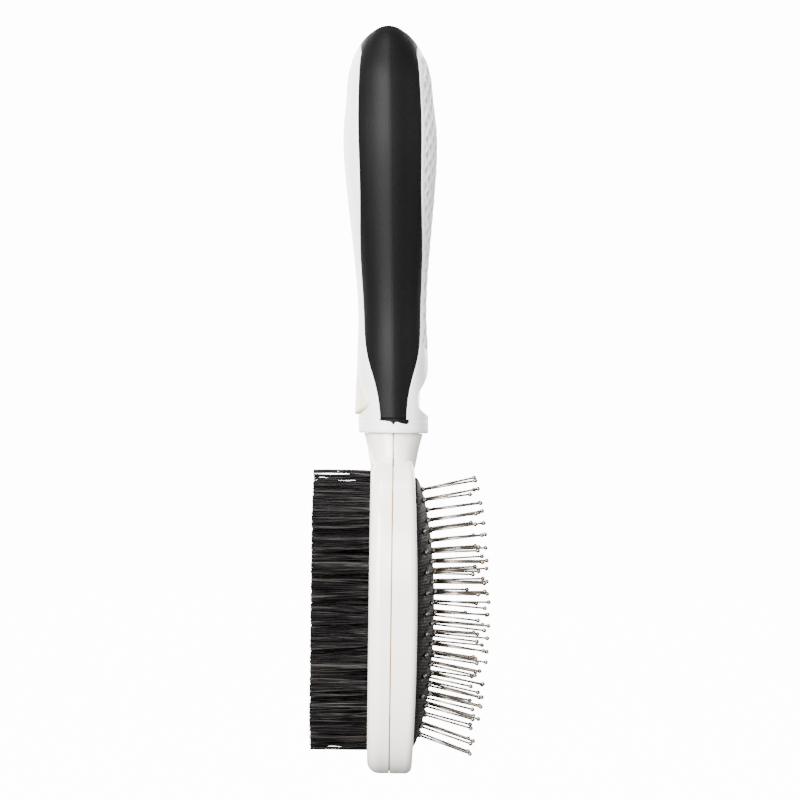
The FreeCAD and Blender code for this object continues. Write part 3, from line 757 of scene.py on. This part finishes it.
def close_tree(tree, geometry, material):
    """Ends a tree in Realize Instances, smooth shading and Set Material."""
    plain = add_node(tree, "GeometryNodeRealizeInstances", {"Geometry": geometry})
    smooth = add_node(tree, "GeometryNodeSetShadeSmooth", {"Geometry": plain})
    finish = {"Geometry": smooth, "Material": material}
    dressed = add_node(tree, "GeometryNodeSetMaterial", finish)
    add_node(tree, "NodeGroupOutput", {"Geometry": dressed})


def grow(name, points, tree, values, stands=None):
    """Runs a tree on points in millimetres and keeps the result as plain mesh."""
    mesh = bpy.data.meshes.new(name)
    mesh.from_pydata((np.asarray(points, float) * MM).tolist(), [], [])
    if stands is not None:
        mesh.attributes.new("stand", "FLOAT_VECTOR", "POINT").data.foreach_set(
            "vector", np.asarray(stands, np.float32).ravel()
        )
    piece = link(bpy.data.objects.new(name, mesh))
    change = piece.modifiers.new(name, "NODES")
    change.node_group = tree
    names = {
        item.name: item.identifier
        for item in tree.interface.items_tree
        if item.in_out == "INPUT"
    }
    for label, value in values.items():
        change[names[label]] = value
    return settle(piece)


def tuft_tree():
    """Filaments from a root in a hole, spread out and trimmed level."""
    tree, given = node_tree(
        "tuft_filaments",
        Int=("Filaments", "Seed"),
        Float=("Filament Radius", "Root Radius", "Flare Radius", "Reach", "Bend"),
        Material=("Material",),
    )
    repeat = {"Geometry": given["Geometry"], "Amount": given["Filaments"]}
    many = add_node(tree, "GeometryNodeDuplicateElements", repeat, domain="POINT")

    def draw(low, high, offset):
        """A random number for each filament."""
        seed = add_node(tree, MATH, {0: given["Seed"], 1: float(offset)}, operation="ADD")
        return add_node(tree, RANDOM, {2: low, 3: high, "Seed": seed}, data_type="FLOAT")

    def disc_point(radius, turn, x):
        """A point at a distance and a turn round the tuft's middle."""
        place = {0: x}
        for axis, wave in enumerate(("COSINE", "SINE"), 1):
            share = add_node(tree, MATH, {0: turn}, operation=wave)
            place[axis] = add_node(tree, MATH, {0: radius, 1: share}, operation="MULTIPLY")
        return add_node(tree, XYZ, place)

    ragged = 0.18 * MM   # how unevenly the tips are trimmed
    share = add_node(tree, MATH, {0: draw(0.0, 1.0, 1), 1: 0.42}, operation="POWER")
    angle = draw(0.0, 2 * math.pi, 2)
    root = add_node(tree, MATH, {0: share, 1: given["Root Radius"]}, operation="MULTIPLY")
    wander = add_node(tree, MATH, {0: angle, 1: draw(-0.9, 0.9, 3)}, operation="ADD")
    opened = add_node(tree, MATH, {0: share, 1: draw(-0.14, 0.05, 4)}, operation="ADD")
    spread = add_node(tree, MATH, {0: opened, 1: given["Flare Radius"]}, operation="MULTIPLY")
    trim = {0: draw(-ragged, ragged, 5), 1: given["Reach"]}
    trimmed = add_node(tree, MATH, trim, operation="SUBTRACT")
    start = disc_point(root, angle, 0.0)
    end = disc_point(spread, wander, trimmed)
    way = add_node(tree, VECTOR_MATH, {0: end, 1: start}, operation="SUBTRACT")
    length = add_node(tree, VECTOR_MATH, {0: way}, operation="LENGTH")
    placed = add_node(tree, "GeometryNodeSetPosition", {"Geometry": many, "Offset": start})
    middle = add_node(tree, XYZ, {0: given["Bend"], 2: 0.6})
    bow = {"Resolution": 4, "Start": (0, 0, 0), "Middle": middle, "End": (0, 0, 1)}
    spine = add_node(tree, "GeometryNodeCurveQuadraticBezier", bow)
    round_wire = {"Resolution": 3, "Radius": given["Filament Radius"]}
    section = add_node(tree, "GeometryNodeCurvePrimitiveCircle", round_wire)
    swept = {"Curve": spine, "Profile Curve": section, "Fill Caps": True}
    filament = add_node(tree, "GeometryNodeCurveToMesh", swept)
    aim = add_node(tree, "FunctionNodeAlignRotationToVector", {"Vector": way}, axis="Z")
    rolled = {"Axis": (0, 0, 1), "Angle": draw(0.0, 2 * math.pi, 6)}
    roll = add_node(tree, "FunctionNodeAxisAngleToRotation", rolled)
    turned = add_node(
        tree, "FunctionNodeRotateRotation", {0: aim, 1: roll}, rotation_space="LOCAL"
    )
    size = add_node(tree, XYZ, {0: 1.0, 1: 1.0, 2: length})
    stand = {"Points": placed, "Instance": filament, "Rotation": turned, "Scale": size}
    stood = add_node(tree, "GeometryNodeInstanceOnPoints", stand)
    close_tree(tree, stood, given["Material"])
    return tree


def pin_tree():
    """Ball-tipped wires standing on a cushion, each through a swaged shoulder."""
    sizes = ("Wire Radius", "Length", "Buried", "Ball Radius", "Shoulder Radius", "Tilt", "Sink")
    tree, given = node_tree("cushion_pins", Float=sizes, Int=("Seed",), Material=("Material",))
    steps = {0: given["Length"], 1: given["Ball Radius"]}
    ball_height = add_node(tree, MATH, steps, operation="SUBTRACT")
    steps = {0: ball_height, 1: given["Buried"]}
    wire_length = add_node(tree, MATH, steps, operation="ADD")
    half_wire = add_node(tree, MATH, {0: wire_length, 1: 0.5}, operation="MULTIPLY")
    steps = {0: half_wire, 1: given["Buried"]}
    wire_middle = add_node(tree, MATH, steps, operation="SUBTRACT")
    form = {"Vertices": 12, "Radius": given["Wire Radius"], "Depth": wire_length}
    wire = add_node(tree, "GeometryNodeMeshCylinder", form)
    form = {"Segments": 14, "Rings": 9, "Radius": given["Ball Radius"]}
    ball = add_node(tree, "GeometryNodeMeshUVSphere", form)
    parts = []
    for part, height in ((wire, wire_middle), (ball, ball_height)):
        lift = {"Geometry": part, "Translation": add_node(tree, XYZ, {2: height})}
        parts.append(add_node(tree, "GeometryNodeTransform", lift))
    pin = add_node(tree, "GeometryNodeJoinGeometry", {0: parts})
    flank = given["Shoulder Radius"]
    brim = add_node(tree, MATH, {0: flank, 1: 0.72}, operation="MULTIPLY")
    form = {"Vertices": 16, "Radius Top": brim, "Radius Bottom": flank, "Depth": flank}
    shoulder = add_node(tree, "GeometryNodeMeshCone", form)
    stand = add_node(
        tree, "GeometryNodeInputNamedAttribute", {"Name": "stand"}, data_type="FLOAT_VECTOR"
    )
    aim = add_node(tree, "FunctionNodeAlignRotationToVector", {"Vector": stand}, axis="Z")
    back = add_node(tree, MATH, {0: given["Tilt"], 1: -1.0}, operation="MULTIPLY")
    lean = {k: add_node(tree, XYZ, {0: v, 1: v}) for k, v in enumerate((back, given["Tilt"]))}
    lean["Seed"] = given["Seed"]
    random_lean = add_node(tree, RANDOM, lean, data_type="FLOAT_VECTOR")
    lean_turn = add_node(tree, "FunctionNodeEulerToRotation", {0: random_lean})
    turned = add_node(
        tree, "FunctionNodeRotateRotation", {0: aim, 1: lean_turn}, rotation_space="LOCAL"
    )
    pins, shoulders = (
        add_node(
            tree,
            "GeometryNodeInstanceOnPoints",
            {"Points": given["Geometry"], "Instance": part, "Rotation": rotation},
        )
        for part, rotation in ((pin, turned), (shoulder, aim))
    )
    seed = add_node(tree, MATH, {0: given["Seed"], 1: 7.0}, operation="ADD")
    chance = add_node(tree, RANDOM, {2: 0.0, 3: 1.0, "Seed": seed}, data_type="FLOAT")
    rare = add_node(tree, MATH, {0: chance, 1: 5.0}, operation="POWER")
    depth = add_node(tree, MATH, {0: rare, 1: given["Sink"]}, operation="MULTIPLY")
    down = add_node(tree, MATH, {0: depth, 1: -1.0}, operation="MULTIPLY")
    lower = {"Instances": pins, "Translation": add_node(tree, XYZ, {2: down})}
    sunk = add_node(tree, "GeometryNodeTranslateInstances", lower)
    field = add_node(tree, "GeometryNodeJoinGeometry", {0: [sunk, shoulders]})
    close_tree(tree, field, given["Material"])
    return tree


# ---------------------------------------------------------------- settings
def colour_property(name, description, code):
    return FloatVectorProperty(
        name=name, description=description, default=linear(code), size=4, subtype="COLOR",
        min=0, max=1,
    )


def length_property(name, description, millimetres):
    return FloatProperty(
        name=name, description=description, default=millimetres * MM, unit="LENGTH",
        subtype="DISTANCE", precision=5, min=0,
    )


class HandleSettings(bpy.types.PropertyGroup):
    shell_colour: colour_property("Shell", "Colour of the hard shells and the collar", "F1F2F4")
    rubber_colour: colour_property("Rubber", "Colour of the soft grips", "060607")
    lip: length_property("Lip", "Rounding of the edges where shell and rubber meet", 0.42)
    ridge: length_property("Ridge", "Height of the rubber's ridge at the parting line", 0.55)
    diamond_across: length_property("Diamond Width", "Grip texture, across the handle", 3.5)
    diamond_along: length_property("Diamond Length", "Grip texture, along the handle", 4.6)
    diamond_height: length_property("Diamond Height", "Height of the grip texture's ribs", 0.6)


class ButtonSettings(bpy.types.PropertyGroup):
    colour: colour_property("Button", "Colour of the release button", "F5E9D0")
    rounding: length_property("Rounding", "Rounding of the button's edge", 0.7)


class HeadSettings(bpy.types.PropertyGroup):
    colour: colour_property("Head", "Colour of the head's two halves", "F6F3EC")
    seam: length_property("Seam", "Half width of the groove along the parting line", 0.1)
    seam_depth: length_property("Seam Depth", "Depth of that groove", 0.7)


class TuftSettings(bpy.types.PropertyGroup):
    colour: colour_property("Nylon", "Colour of the filaments", "060506")
    # painted highlight: colour of the grey streaks that stand for the filaments' shine
    light: colour_property("Grey Filaments", "Colour of the greyer filaments", "3E3A38")
    filaments: IntProperty(
        name="Filaments", description="Filaments in each tuft", default=54, min=8, max=120
    )
    filament: length_property("Filament", "Radius of a filament", 0.18)
    root: length_property("Root", "Radius of a tuft at its hole", 1.4)
    flare: length_property("Flare", "Radius of a tuft at its trimmed tips", 3.05)
    bend: length_property("Bend", "How far a filament bows", 0.5)
    seed: IntProperty(name="Seed", description="Seed of the tufts' disorder", default=11)


class PadSettings(bpy.types.PropertyGroup):
    # painted shade and highlight: the cloth colour darkens the weave's gaps, the thread colour
    # lights its crowns
    colour: colour_property("Cloth", "Colour in the weave's gaps", "020203")
    lit_thread: colour_property("Thread", "Colour of the raised threads", "3A3738")
    weave: length_property("Weave", "Distance between threads", 1.35)
    dimple: length_property("Dimple", "How far a pin draws the cloth in", 0.4)


class PinSettings(bpy.types.PropertyGroup):
    colour: colour_property("Steel", "Colour of the plated steel", "857C71")
    tilt: FloatProperty(
        name="Tilt", description="Greatest lean of a pin", default=math.radians(2.6),
        subtype="ANGLE", min=0,
    )
    sink: length_property("Sink", "How much shorter the shortest pin stands", 3.4)
    seed: IntProperty(name="Seed", description="Seed of the pins' disorder", default=5)


class StageSettings(bpy.types.PropertyGroup):
    floor_colour: colour_property("Floor", "Colour of the floor", "FAFAFA")
    distance: length_property("Camera Distance", "From the brush to the camera", 1300)
    view_height: length_property("View Height", "Height that the picture shows", 240)
    roll: FloatProperty(
        name="Roll", description="Lean of the camera", default=math.radians(-0.75), subtype="ANGLE"
    )


# ---------------------------------------------------------------- operators
class BRUSH_OT_handle_shells(bpy.types.Operator):
    """Build the two hard halves of the handle"""

    bl_idname = "brush.handle_shells"
    bl_label = "Handle Shells"

    def execute(self, context):
        sizes = context.scene.brush_handle
        material = satin_abs(sizes.shell_colour)
        for side, way in (("bristle_side", -1), ("pin_side", 1)):
            piece = shell_half(f"handle_shell_{side}_visual", way, sizes)
            window = loop_solid("window", flat_loops(teardrop(0), sorted((way * 3, way * 30))))
            combine(piece, [window], "DIFFERENCE")
            shade(piece)
            finish_piece(piece, "handle", [f"handle_shell_{side}"], material)
        return {"FINISHED"}


class BRUSH_OT_handle_grips(bpy.types.Operator):
    """Build the two soft covers of the handle"""

    bl_idname = "brush.handle_grips"
    bl_label = "Handle Grips"

    def execute(self, context):
        sizes = context.scene.brush_handle
        material = soft_tpe(sizes.rubber_colour)
        for side, way in (("bristle_side", -1), ("pin_side", 1)):
            piece = shade(grip_half(f"grip_{side}_visual", way, sizes), 50)
            finish_piece(piece, "handle", [f"grip_{side}"], material)
        return {"FINISHED"}


class BRUSH_OT_collar(bpy.types.Operator):
    """Build the collar that clamps the handle's two halves"""

    bl_idname = "brush.collar"
    bl_label = "Collar"

    def execute(self, context):
        turn = np.linspace(0, 2 * math.pi, 145)[:-1]
        loops = []
        corner = np.linspace(0, math.pi / 2, 6)
        profile = [(-0.5 + 0.5 * math.sin(a), 0.5 - 0.5 * math.cos(a)) for a in corner]
        profile += [(0.0, z) for z in (1.2, 2.2, 3.2)]
        top = COLLAR_TOP - 0.15
        profile += [(-0.15 + 0.15 * math.cos(a), top + 0.15 * math.sin(a)) for a in corner[1:]]
        for lift, z in profile:
            row = Rows(np.array([along_at(z)]))
            loops.append(row.at(1, turn[None, :], np.array([[lift]]))[0])
        for z in (COLLAR_TOP, 0.0):
            ring = (SPIGOT[0] + 0.03) * np.cos(turn), (SPIGOT[1] + 0.03) * np.sin(turn)
            loops.append(np.column_stack([*ring, np.full_like(turn, z)]))
        for loop, (_, z) in zip(loops, profile):
            loop[:, 2] = z
        piece = shade(loop_solid("collar_visual", loops, ring=True))
        material = bpy.data.materials["satin_moulded_abs"]
        finish_piece(piece, "handle", ["handle_collar"], material)
        return {"FINISHED"}


class BRUSH_OT_button(bpy.types.Operator):
    """Build the release button with its sprung leaf"""

    bl_idname = "brush.button"
    bl_label = "Release Button"

    def execute(self, context):
        sizes = context.scene.brush_button
        outline = teardrop(RUNNING_GAP)
        step = np.roll(outline, -1, 0) - np.roll(outline, 1, 0)
        normals = np.column_stack([step[:, 1], -step[:, 0]])
        normals /= np.linalg.norm(normals, axis=1)[:, None]

        def face(points, inset_x):
            share = (points[:, 1] - 2) / 20
            half = 11.75 + (10.6 - 11.75) * share
            across = np.clip(points[:, 0] / (half * 1.1), -1, 1)
            x = -points[:, 1] * RAKE - half * np.sqrt(1 - across**2) + inset_x
            return np.column_stack([x, points])

        radius = sizes.rounding / MM
        loops = flat_loops(outline, (-BUTTON_BACK,))
        room = np.minimum(1, (np.abs(outline[:, 0]) + 0.25) / radius)
        for angle in np.linspace(0, math.pi / 2, 7):
            inset = radius * (1 - math.cos(angle)) * room
            moved = outline - normals * inset[:, None]
            loops.append(face(moved, radius * (1 - math.sin(angle))))
        spine = np.column_stack([np.zeros(len(outline)), np.clip(outline[:, 1], 9.6, 17.5)])
        edge = loops[-1][:, 1:]
        for share in np.linspace(0, 1, 12)[1:]:
            loops.append(face(edge + (spine - edge) * share, 0))
        rows, cols = len(loops), len(outline)
        faces = grid(rows, cols, wrap_cols=True) + [list(range(cols))]
        piece = surface("release_button_visual", np.concatenate(loops), faces)
        plate = [(-LEAF_SIDE, LEAF_LOW), (LEAF_SIDE, LEAF_LOW)]
        plate += [(LEAF_SIDE, LEAF_TOP), (-LEAF_SIDE, LEAF_TOP)]
        leaf = loop_solid("leaf", flat_loops(np.array(plate), (LEAF_BACK, LEAF_FRONT)))
        bevel = leaf.modifiers.new("edges", "BEVEL")
        bevel.width = 0.25 * MM
        bevel.segments = 2
        settle(leaf)
        bead = rod("bead", BEAD_RADIUS, BEAD_SIDE, 32)
        combine(piece, [leaf, bead], "UNION")
        shade(piece, 40)
        material = acetal(sizes.colour)
        finish_piece(piece, "button", ["release_button"], material)
        return {"FINISHED"}


class BRUSH_OT_head_shells(bpy.types.Operator):
    """Build the head's two halves, each with half of the neck and of the tang"""

    bl_idname = "brush.head_shells"
    bl_label = "Head Shells"

    def execute(self, context):
        sizes = context.scene.brush_head
        seam, deep = sizes.seam / MM, sizes.seam_depth / MM
        material = gloss_abs(sizes.colour)
        paddle = rounded_outline(HEAD_MIDDLE, HEAD_LONG, HEAD_WIDE, HEAD_POWER)
        side = BRISTLE_FACE - BRISTLE_RIM
        loops = rim_loops(paddle, -1, seam, deep)
        loops += [ring_at(paddle, 0, x) for x in (-1.0, -2.0)]
        for angle in np.linspace(0, math.pi / 2, 13):
            x = -side - BRISTLE_RIM * math.sin(angle)
            loops.append(ring_at(paddle, BRISTLE_RIM * (1 - math.cos(angle)), x))
        loops.append(ring_at(paddle, BRISTLE_RIM + 0.12, -BRISTLE_FACE))
        bristle = loop_solid("head_shell_bristle_side_visual", loops)
        combine(bristle, stem("bristle", -1, seam, deep), "UNION")
        turn = np.linspace(0, 2 * math.pi, 25)[:-1]
        ring = HOLE_RADIUS * np.column_stack([0 * turn, np.cos(turn), np.sin(turn)])
        points, faces = [], []
        for y, heights in TUFTS:
            for z in heights:
                start = len(points)
                points += [p + (x, y, z) for x in (-HOLE_FLOOR, -12.0) for p in ring]
                faces += grid(2, 24, start, wrap_cols=True)
                faces += [list(range(start, start + 24)), list(range(start + 24, start + 48))]
        cuts = [
            surface("holes", points, faces),
            box_form("pocket", (-30, -WINDOW_SIDE, 3.6), (-0.8, WINDOW_SIDE, WINDOW_TIP + 1)),
            box_form("slot", (-30, -LEAF_SIDE - 0.3, WINDOW_TIP), (-2.9, LEAF_SIDE + 0.3, BEAD_Z)),
            rod("seat", BEAD_RADIUS + 0.1, BEAD_SIDE + 0.1, 24),
        ]
        combine(bristle, cuts + seam_slots("bristle_slot"), "DIFFERENCE")
        shade(bristle)
        names = ["head_shell_bristle_side"]
        finish_piece(bristle, "head", names, material)

        recess = rounded_outline(PAD_MIDDLE, PAD_LONG, PAD_WIDE, PAD_POWER, PAD_GAP)
        loops = rim_loops(paddle, 1, seam, deep)
        loops += [ring_at(paddle, 0, x) for x in (1.4, 2.8)]
        for angle in np.linspace(0, math.pi / 2, 10):
            drop = PIN_RIM * (1 - math.sin(angle))
            inset = PIN_RIM * (1 - math.cos(angle))
            loops.append(ring_at(paddle, inset, lambda z, d=drop: pin_face_x(z) - d))
        outside = ring_at(paddle, PIN_RIM + 0.1, pin_face_x)
        ease = 0.35
        rim = ring_at(recess, -ease, pin_face_x)
        for share in np.linspace(0, 1, 8):
            loop = outside + (rim - outside) * share
            loop[:, 0] = pin_face_x(loop[:, 2])
            loops.append(loop)
        for angle in np.linspace(0, math.pi / 2, 5)[1:]:
            drop = ease * (1 - math.cos(angle))
            inset = -ease * (1 - math.sin(angle))
            loops.append(ring_at(recess, inset, lambda z, d=drop: pin_face_x(z) - d))
        loops.append(ring_at(recess, 0, RECESS_FLOOR))
        pin = loop_solid("head_shell_pin_side_visual", loops)
        combine(pin, stem("pin", 1, seam, deep), "UNION")
        combine(pin, seam_slots("pin_slot"), "DIFFERENCE")
        shade(pin)
        finish_piece(pin, "head", ["head_shell_pin_side"], material)
        return {"FINISHED"}


def fan_out(piece, centres):
    """Lets a tuft's filaments spread soon after the hole, and keeps the field's ends level."""
    place = np.empty(len(piece.data.vertices) * 3)
    piece.data.vertices.foreach_get("co", place)
    place = place.reshape(-1, 3) / MM
    middle = np.repeat(np.array(centres), len(place) // len(centres), axis=0)
    share = np.clip((TUFT_ROOT - place[:, 0]) / (TUFT_TRIM + TUFT_ROOT), 0.001, 1)
    grown = (1 - (1 - share) ** 2.3) / share
    last = (middle[:, 2] == middle[:, 2].min()) | (middle[:, 2] == middle[:, 2].max())
    spread = 1 + (grown - 1) * np.where(last, 0.6, 0.25)
    place[:, 1:] = middle[:, 1:] + (place[:, 1:] - middle[:, 1:]) * spread[:, None]
    pulled_back = 0.88   # share of a filament's overhang past the field's ends
    over = place[:, 2] - TUFT_ENDS[1]
    place[:, 2] -= np.where(over > 0, over * pulled_back, 0)
    under = TUFT_ENDS[0] - place[:, 2]
    place[:, 2] += np.where(under > 0, under * pulled_back, 0)
    piece.data.vertices.foreach_set("co", (place * MM).ravel())
    piece.data.update()


class BRUSH_OT_tufts(bpy.types.Operator):
    """Grow the nylon tufts, one piece for each column, and finish their anchors"""

    bl_idname = "brush.tufts"
    bl_label = "Tufts and Anchors"

    def execute(self, context):
        sizes = context.scene.brush_tufts
        material = nylon_filament(sizes.colour, sizes.light)
        tree = tuft_tree()
        for number, (y, heights) in enumerate(TUFTS, 1):
            values = {
                "Filaments": sizes.filaments,
                "Filament Radius": sizes.filament,
                "Root Radius": sizes.root,
                "Flare Radius": sizes.flare,
                "Reach": (TUFT_TRIM + TUFT_ROOT) * MM,
                "Bend": sizes.bend,
                "Seed": sizes.seed + 20 * number,
                "Material": material,
            }
            points = [(TUFT_ROOT, y, z) for z in heights]
            piece = grow(f"tuft_column_{number}_visual", points, tree, values)
            fan_out(piece, points)
            names = [f"tuft_column_{number}"]
            finish_piece(piece, "head", names, material)
        wire = plated_steel("flat_steel_wire", linear("B9B6B0"), linear("8E8A84"), 0.8, 0.3, 0.45)
        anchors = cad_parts["tuft_anchors"]
        for slot in anchors.material_slots:
            slot.material = wire
        return {"FINISHED"}


class BRUSH_OT_cushion(bpy.types.Operator):
    """Build the cloth-faced rubber cushion"""

    bl_idname = "brush.cushion"
    bl_label = "Cushion"

    def execute(self, context):
        sizes = context.scene.brush_pad
        outline, _ = rounded_outline(0, PAD_LONG, PAD_WIDE, PAD_POWER, count=256)
        floor = RECESS_FLOOR + PAD_GAP
        loops = []
        for x in (floor, floor + 1.5, 5.0, 6.2, 6.8):
            loops.append(np.column_stack([np.full(256, x), outline + (0, PAD_MIDDLE)]))
        for angle in np.radians(np.linspace(0, 89, 66)):
            scaled = outline * math.cos(angle) + (0, PAD_MIDDLE)
            x = PAD_BASE + PAD_HEIGHT * (math.sin(angle) ** 2) ** DOME_POWER
            loops.append(np.column_stack([np.full(256, x), scaled]))
        loops = np.array(loops)
        depth = np.zeros(loops.shape[:2])
        for y, heights in PINS:
            for z in heights:
                away = np.hypot(loops[..., 1] - y, loops[..., 2] - z)
                depth += sizes.dimple / MM * np.exp(-((away / 1.25) ** 2))
        depth[:5] = 0
        # where each point lies on the cloth, measured along its surface from the crown
        steps = np.linalg.norm(np.diff(loops, axis=0), axis=2)
        run = np.r_[np.cumsum(steps[::-1], axis=0)[::-1], np.zeros((1, steps.shape[1]))]
        way = loops[..., 1:] - (0, PAD_MIDDLE)
        way /= np.maximum(np.linalg.norm(way, axis=2), 1e-6)[..., None]
        laid = np.concatenate([np.zeros((*run.shape, 1)), way * run[..., None] * MM], axis=2)
        loops[..., 0] -= depth
        marks = {"cloth": laid.reshape(-1, 3)}
        piece = shade(loop_solid("cushion_visual", loops, marks=marks), 60)
        material = twill_cloth(sizes.colour, sizes.lit_thread, sizes.weave)
        finish_piece(piece, "head", ["cushion_pad"], material)
        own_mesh(piece)
        return {"FINISHED"}


class BRUSH_OT_pins(bpy.types.Operator):
    """Stand the steel pins in the cushion, one piece for each column"""

    bl_idname = "brush.pins"
    bl_label = "Pins"

    def execute(self, context):
        sizes = context.scene.brush_pins
        dull = toned(sizes.colour, 0.8, 0.8, 0.8)
        material = plated_steel("nickel_plated_steel_wire", sizes.colour, dull, 1.5, 0.24, 0.36)
        tree = pin_tree()
        for number, (y, heights) in enumerate(PINS, 1):
            points = [(float(dome_x(y, z)), y, z) for z in heights]
            values = {
                "Wire Radius": PIN_RADIUS * MM,
                "Length": PIN_LENGTH * MM,
                "Buried": PIN_BURIED * MM,
                "Ball Radius": BALL_RADIUS * MM,
                "Shoulder Radius": SHOULDER_RADIUS * MM,
                "Tilt": sizes.tilt,
                "Sink": sizes.sink,
                "Seed": sizes.seed + 10 * number,
                "Material": material,
            }
            stands = [pin_way(y, z) for z in heights]
            piece = grow(f"pin_column_{number}_visual", points, tree, values, stands)
            finish_piece(piece, "pins", [f"pin_column_{number}"], material)
        return {"FINISHED"}


class BRUSH_OT_stage(bpy.types.Operator):
    """Set up the floor, the lights and the camera"""

    bl_idname = "brush.stage"
    bl_label = "Stage"

    def execute(self, context):
        sizes = context.scene.brush_stage
        scene = context.scene
        material, *_ = new_material(
            "painted_studio_floor",
            Base_Color=tuple(sizes.floor_colour),
            Roughness=0.9,
            Emission_Color=(1, 1, 1, 1),
            Emission_Strength=STUDIO_WHITE,
        )
        around = np.linspace(0, 2 * math.pi, 65)[:-1]
        radius, level = 9000.0, -450.0
        points = [(radius * math.cos(a), radius * math.sin(a), level) for a in around]
        floor = surface("studio_floor", points, [list(range(64))])
        floor.data.materials.append(material)
        floor.visible_diffuse = False
        floor.visible_glossy = False
        if floor.data.polygons[0].normal.z < 0:
            floor.data.flip_normals()

        # the surroundings look plain white, and light the brush far less than they show
        scene.world = bpy.data.worlds.new("studio_light")
        scene.world.use_nodes = True
        sky = scene.world.node_tree
        sky.nodes.clear()
        lit, seen = (
            add_node(sky, "ShaderNodeBackground", {"Color": colour, "Strength": strength})
            for colour, strength in (((1, 0.995, 0.985, 1), 0.5), ((1, 1, 1, 1), STUDIO_WHITE))
        )
        seen_share = add_node(sky, "ShaderNodeLightPath").outputs["Is Camera Ray"]
        mix = add_node(sky, "ShaderNodeMixShader", {0: seen_share, 1: lit, 2: seen})
        add_node(sky, "ShaderNodeOutputWorld", {"Surface": mix})

        lamps = (
            ("key_softbox", (-0.72, -1.3, 0.4), 112, 1.0, (1.0, 0.995, 0.98)),
            ("front_softbox", (0.1, -1.5, 0.3), 16, 0.5, (1.0, 0.99, 0.97)),
            ("fill_softbox", (1.35, -0.5, 0.3), 8, 0.6, (1.0, 0.97, 0.93)),
            ("back_softbox", (-0.9, 1.2, 0.3), 34, 1.0, (1.0, 1.0, 1.0)),
            ("rim_softbox", (0.9, 1.3, 0.4), 26, 0.8, (1.0, 0.98, 0.95)),
            ("top_softbox", (-0.3, -0.5, 1.4), 22, 0.6, (1.0, 1.0, 1.0)),
        )
        for name, place, power, width, colour in lamps:
            lamp = bpy.data.lights.new(name, "AREA")
            lamp.energy = power
            lamp.size = width
            lamp.color = colour
            item = link(bpy.data.objects.new(name, lamp))
            item.location = place
            item.rotation_euler = (-Vector(place)).to_track_quat("-Z", "Y").to_euler()

        camera = bpy.data.cameras.new("camera")
        camera.sensor_width = 36
        camera.lens = 36 * sizes.distance / sizes.view_height
        item = link(bpy.data.objects.new("camera", camera))
        item.location = (1.8 * MM, -sizes.distance, 9.9 * MM)
        item.rotation_euler = (math.pi / 2, sizes.roll, 0)
        scene.camera = item
        return {"FINISHED"}


class BRUSH_PT_sidebar(bpy.types.Panel):
    """The brush's settings and its pieces"""

    bl_idname = "BRUSH_PT_sidebar"
    bl_label = "Grooming Brush"
    bl_space_type = "VIEW_3D"
    bl_region_type = "UI"
    bl_category = "Brush"

    def draw(self, context):
        for name, _, operators in SECTIONS:
            box = self.layout.box()
            settings = getattr(context.scene, name)
            for item in settings.bl_rna.properties:
                if item.identifier not in ("rna_type", "name"):
                    box.prop(settings, item.identifier)
            for operator in operators:
                box.operator(operator.bl_idname)


SECTIONS = (
    (
        "brush_handle",
        HandleSettings,
        (BRUSH_OT_handle_shells, BRUSH_OT_handle_grips, BRUSH_OT_collar),
    ),
    ("brush_head", HeadSettings, (BRUSH_OT_head_shells,)),
    ("brush_button", ButtonSettings, (BRUSH_OT_button,)),
    ("brush_tufts", TuftSettings, (BRUSH_OT_tufts,)),
    ("brush_pad", PadSettings, (BRUSH_OT_cushion,)),
    ("brush_pins", PinSettings, (BRUSH_OT_pins,)),
    ("brush_stage", StageSettings, (BRUSH_OT_stage,)),
)


def register():
    for name, group, operators in SECTIONS:
        bpy.utils.register_class(group)
        setattr(bpy.types.Scene, name, PointerProperty(type=group))
        for operator in operators:
            bpy.utils.register_class(operator)
    bpy.utils.register_class(BRUSH_PT_sidebar)


def unregister():
    bpy.utils.unregister_class(BRUSH_PT_sidebar)
    for name, group, operators in reversed(SECTIONS):
        for operator in reversed(operators):
            bpy.utils.unregister_class(operator)
        delattr(bpy.types.Scene, name)
        bpy.utils.unregister_class(group)


def main():
    register()
    for _, _, operators in SECTIONS:
        for operator in operators:
            area, name = operator.bl_idname.split(".")
            getattr(getattr(bpy.ops, area), name)()


if __name__ == "__main__":
    main()
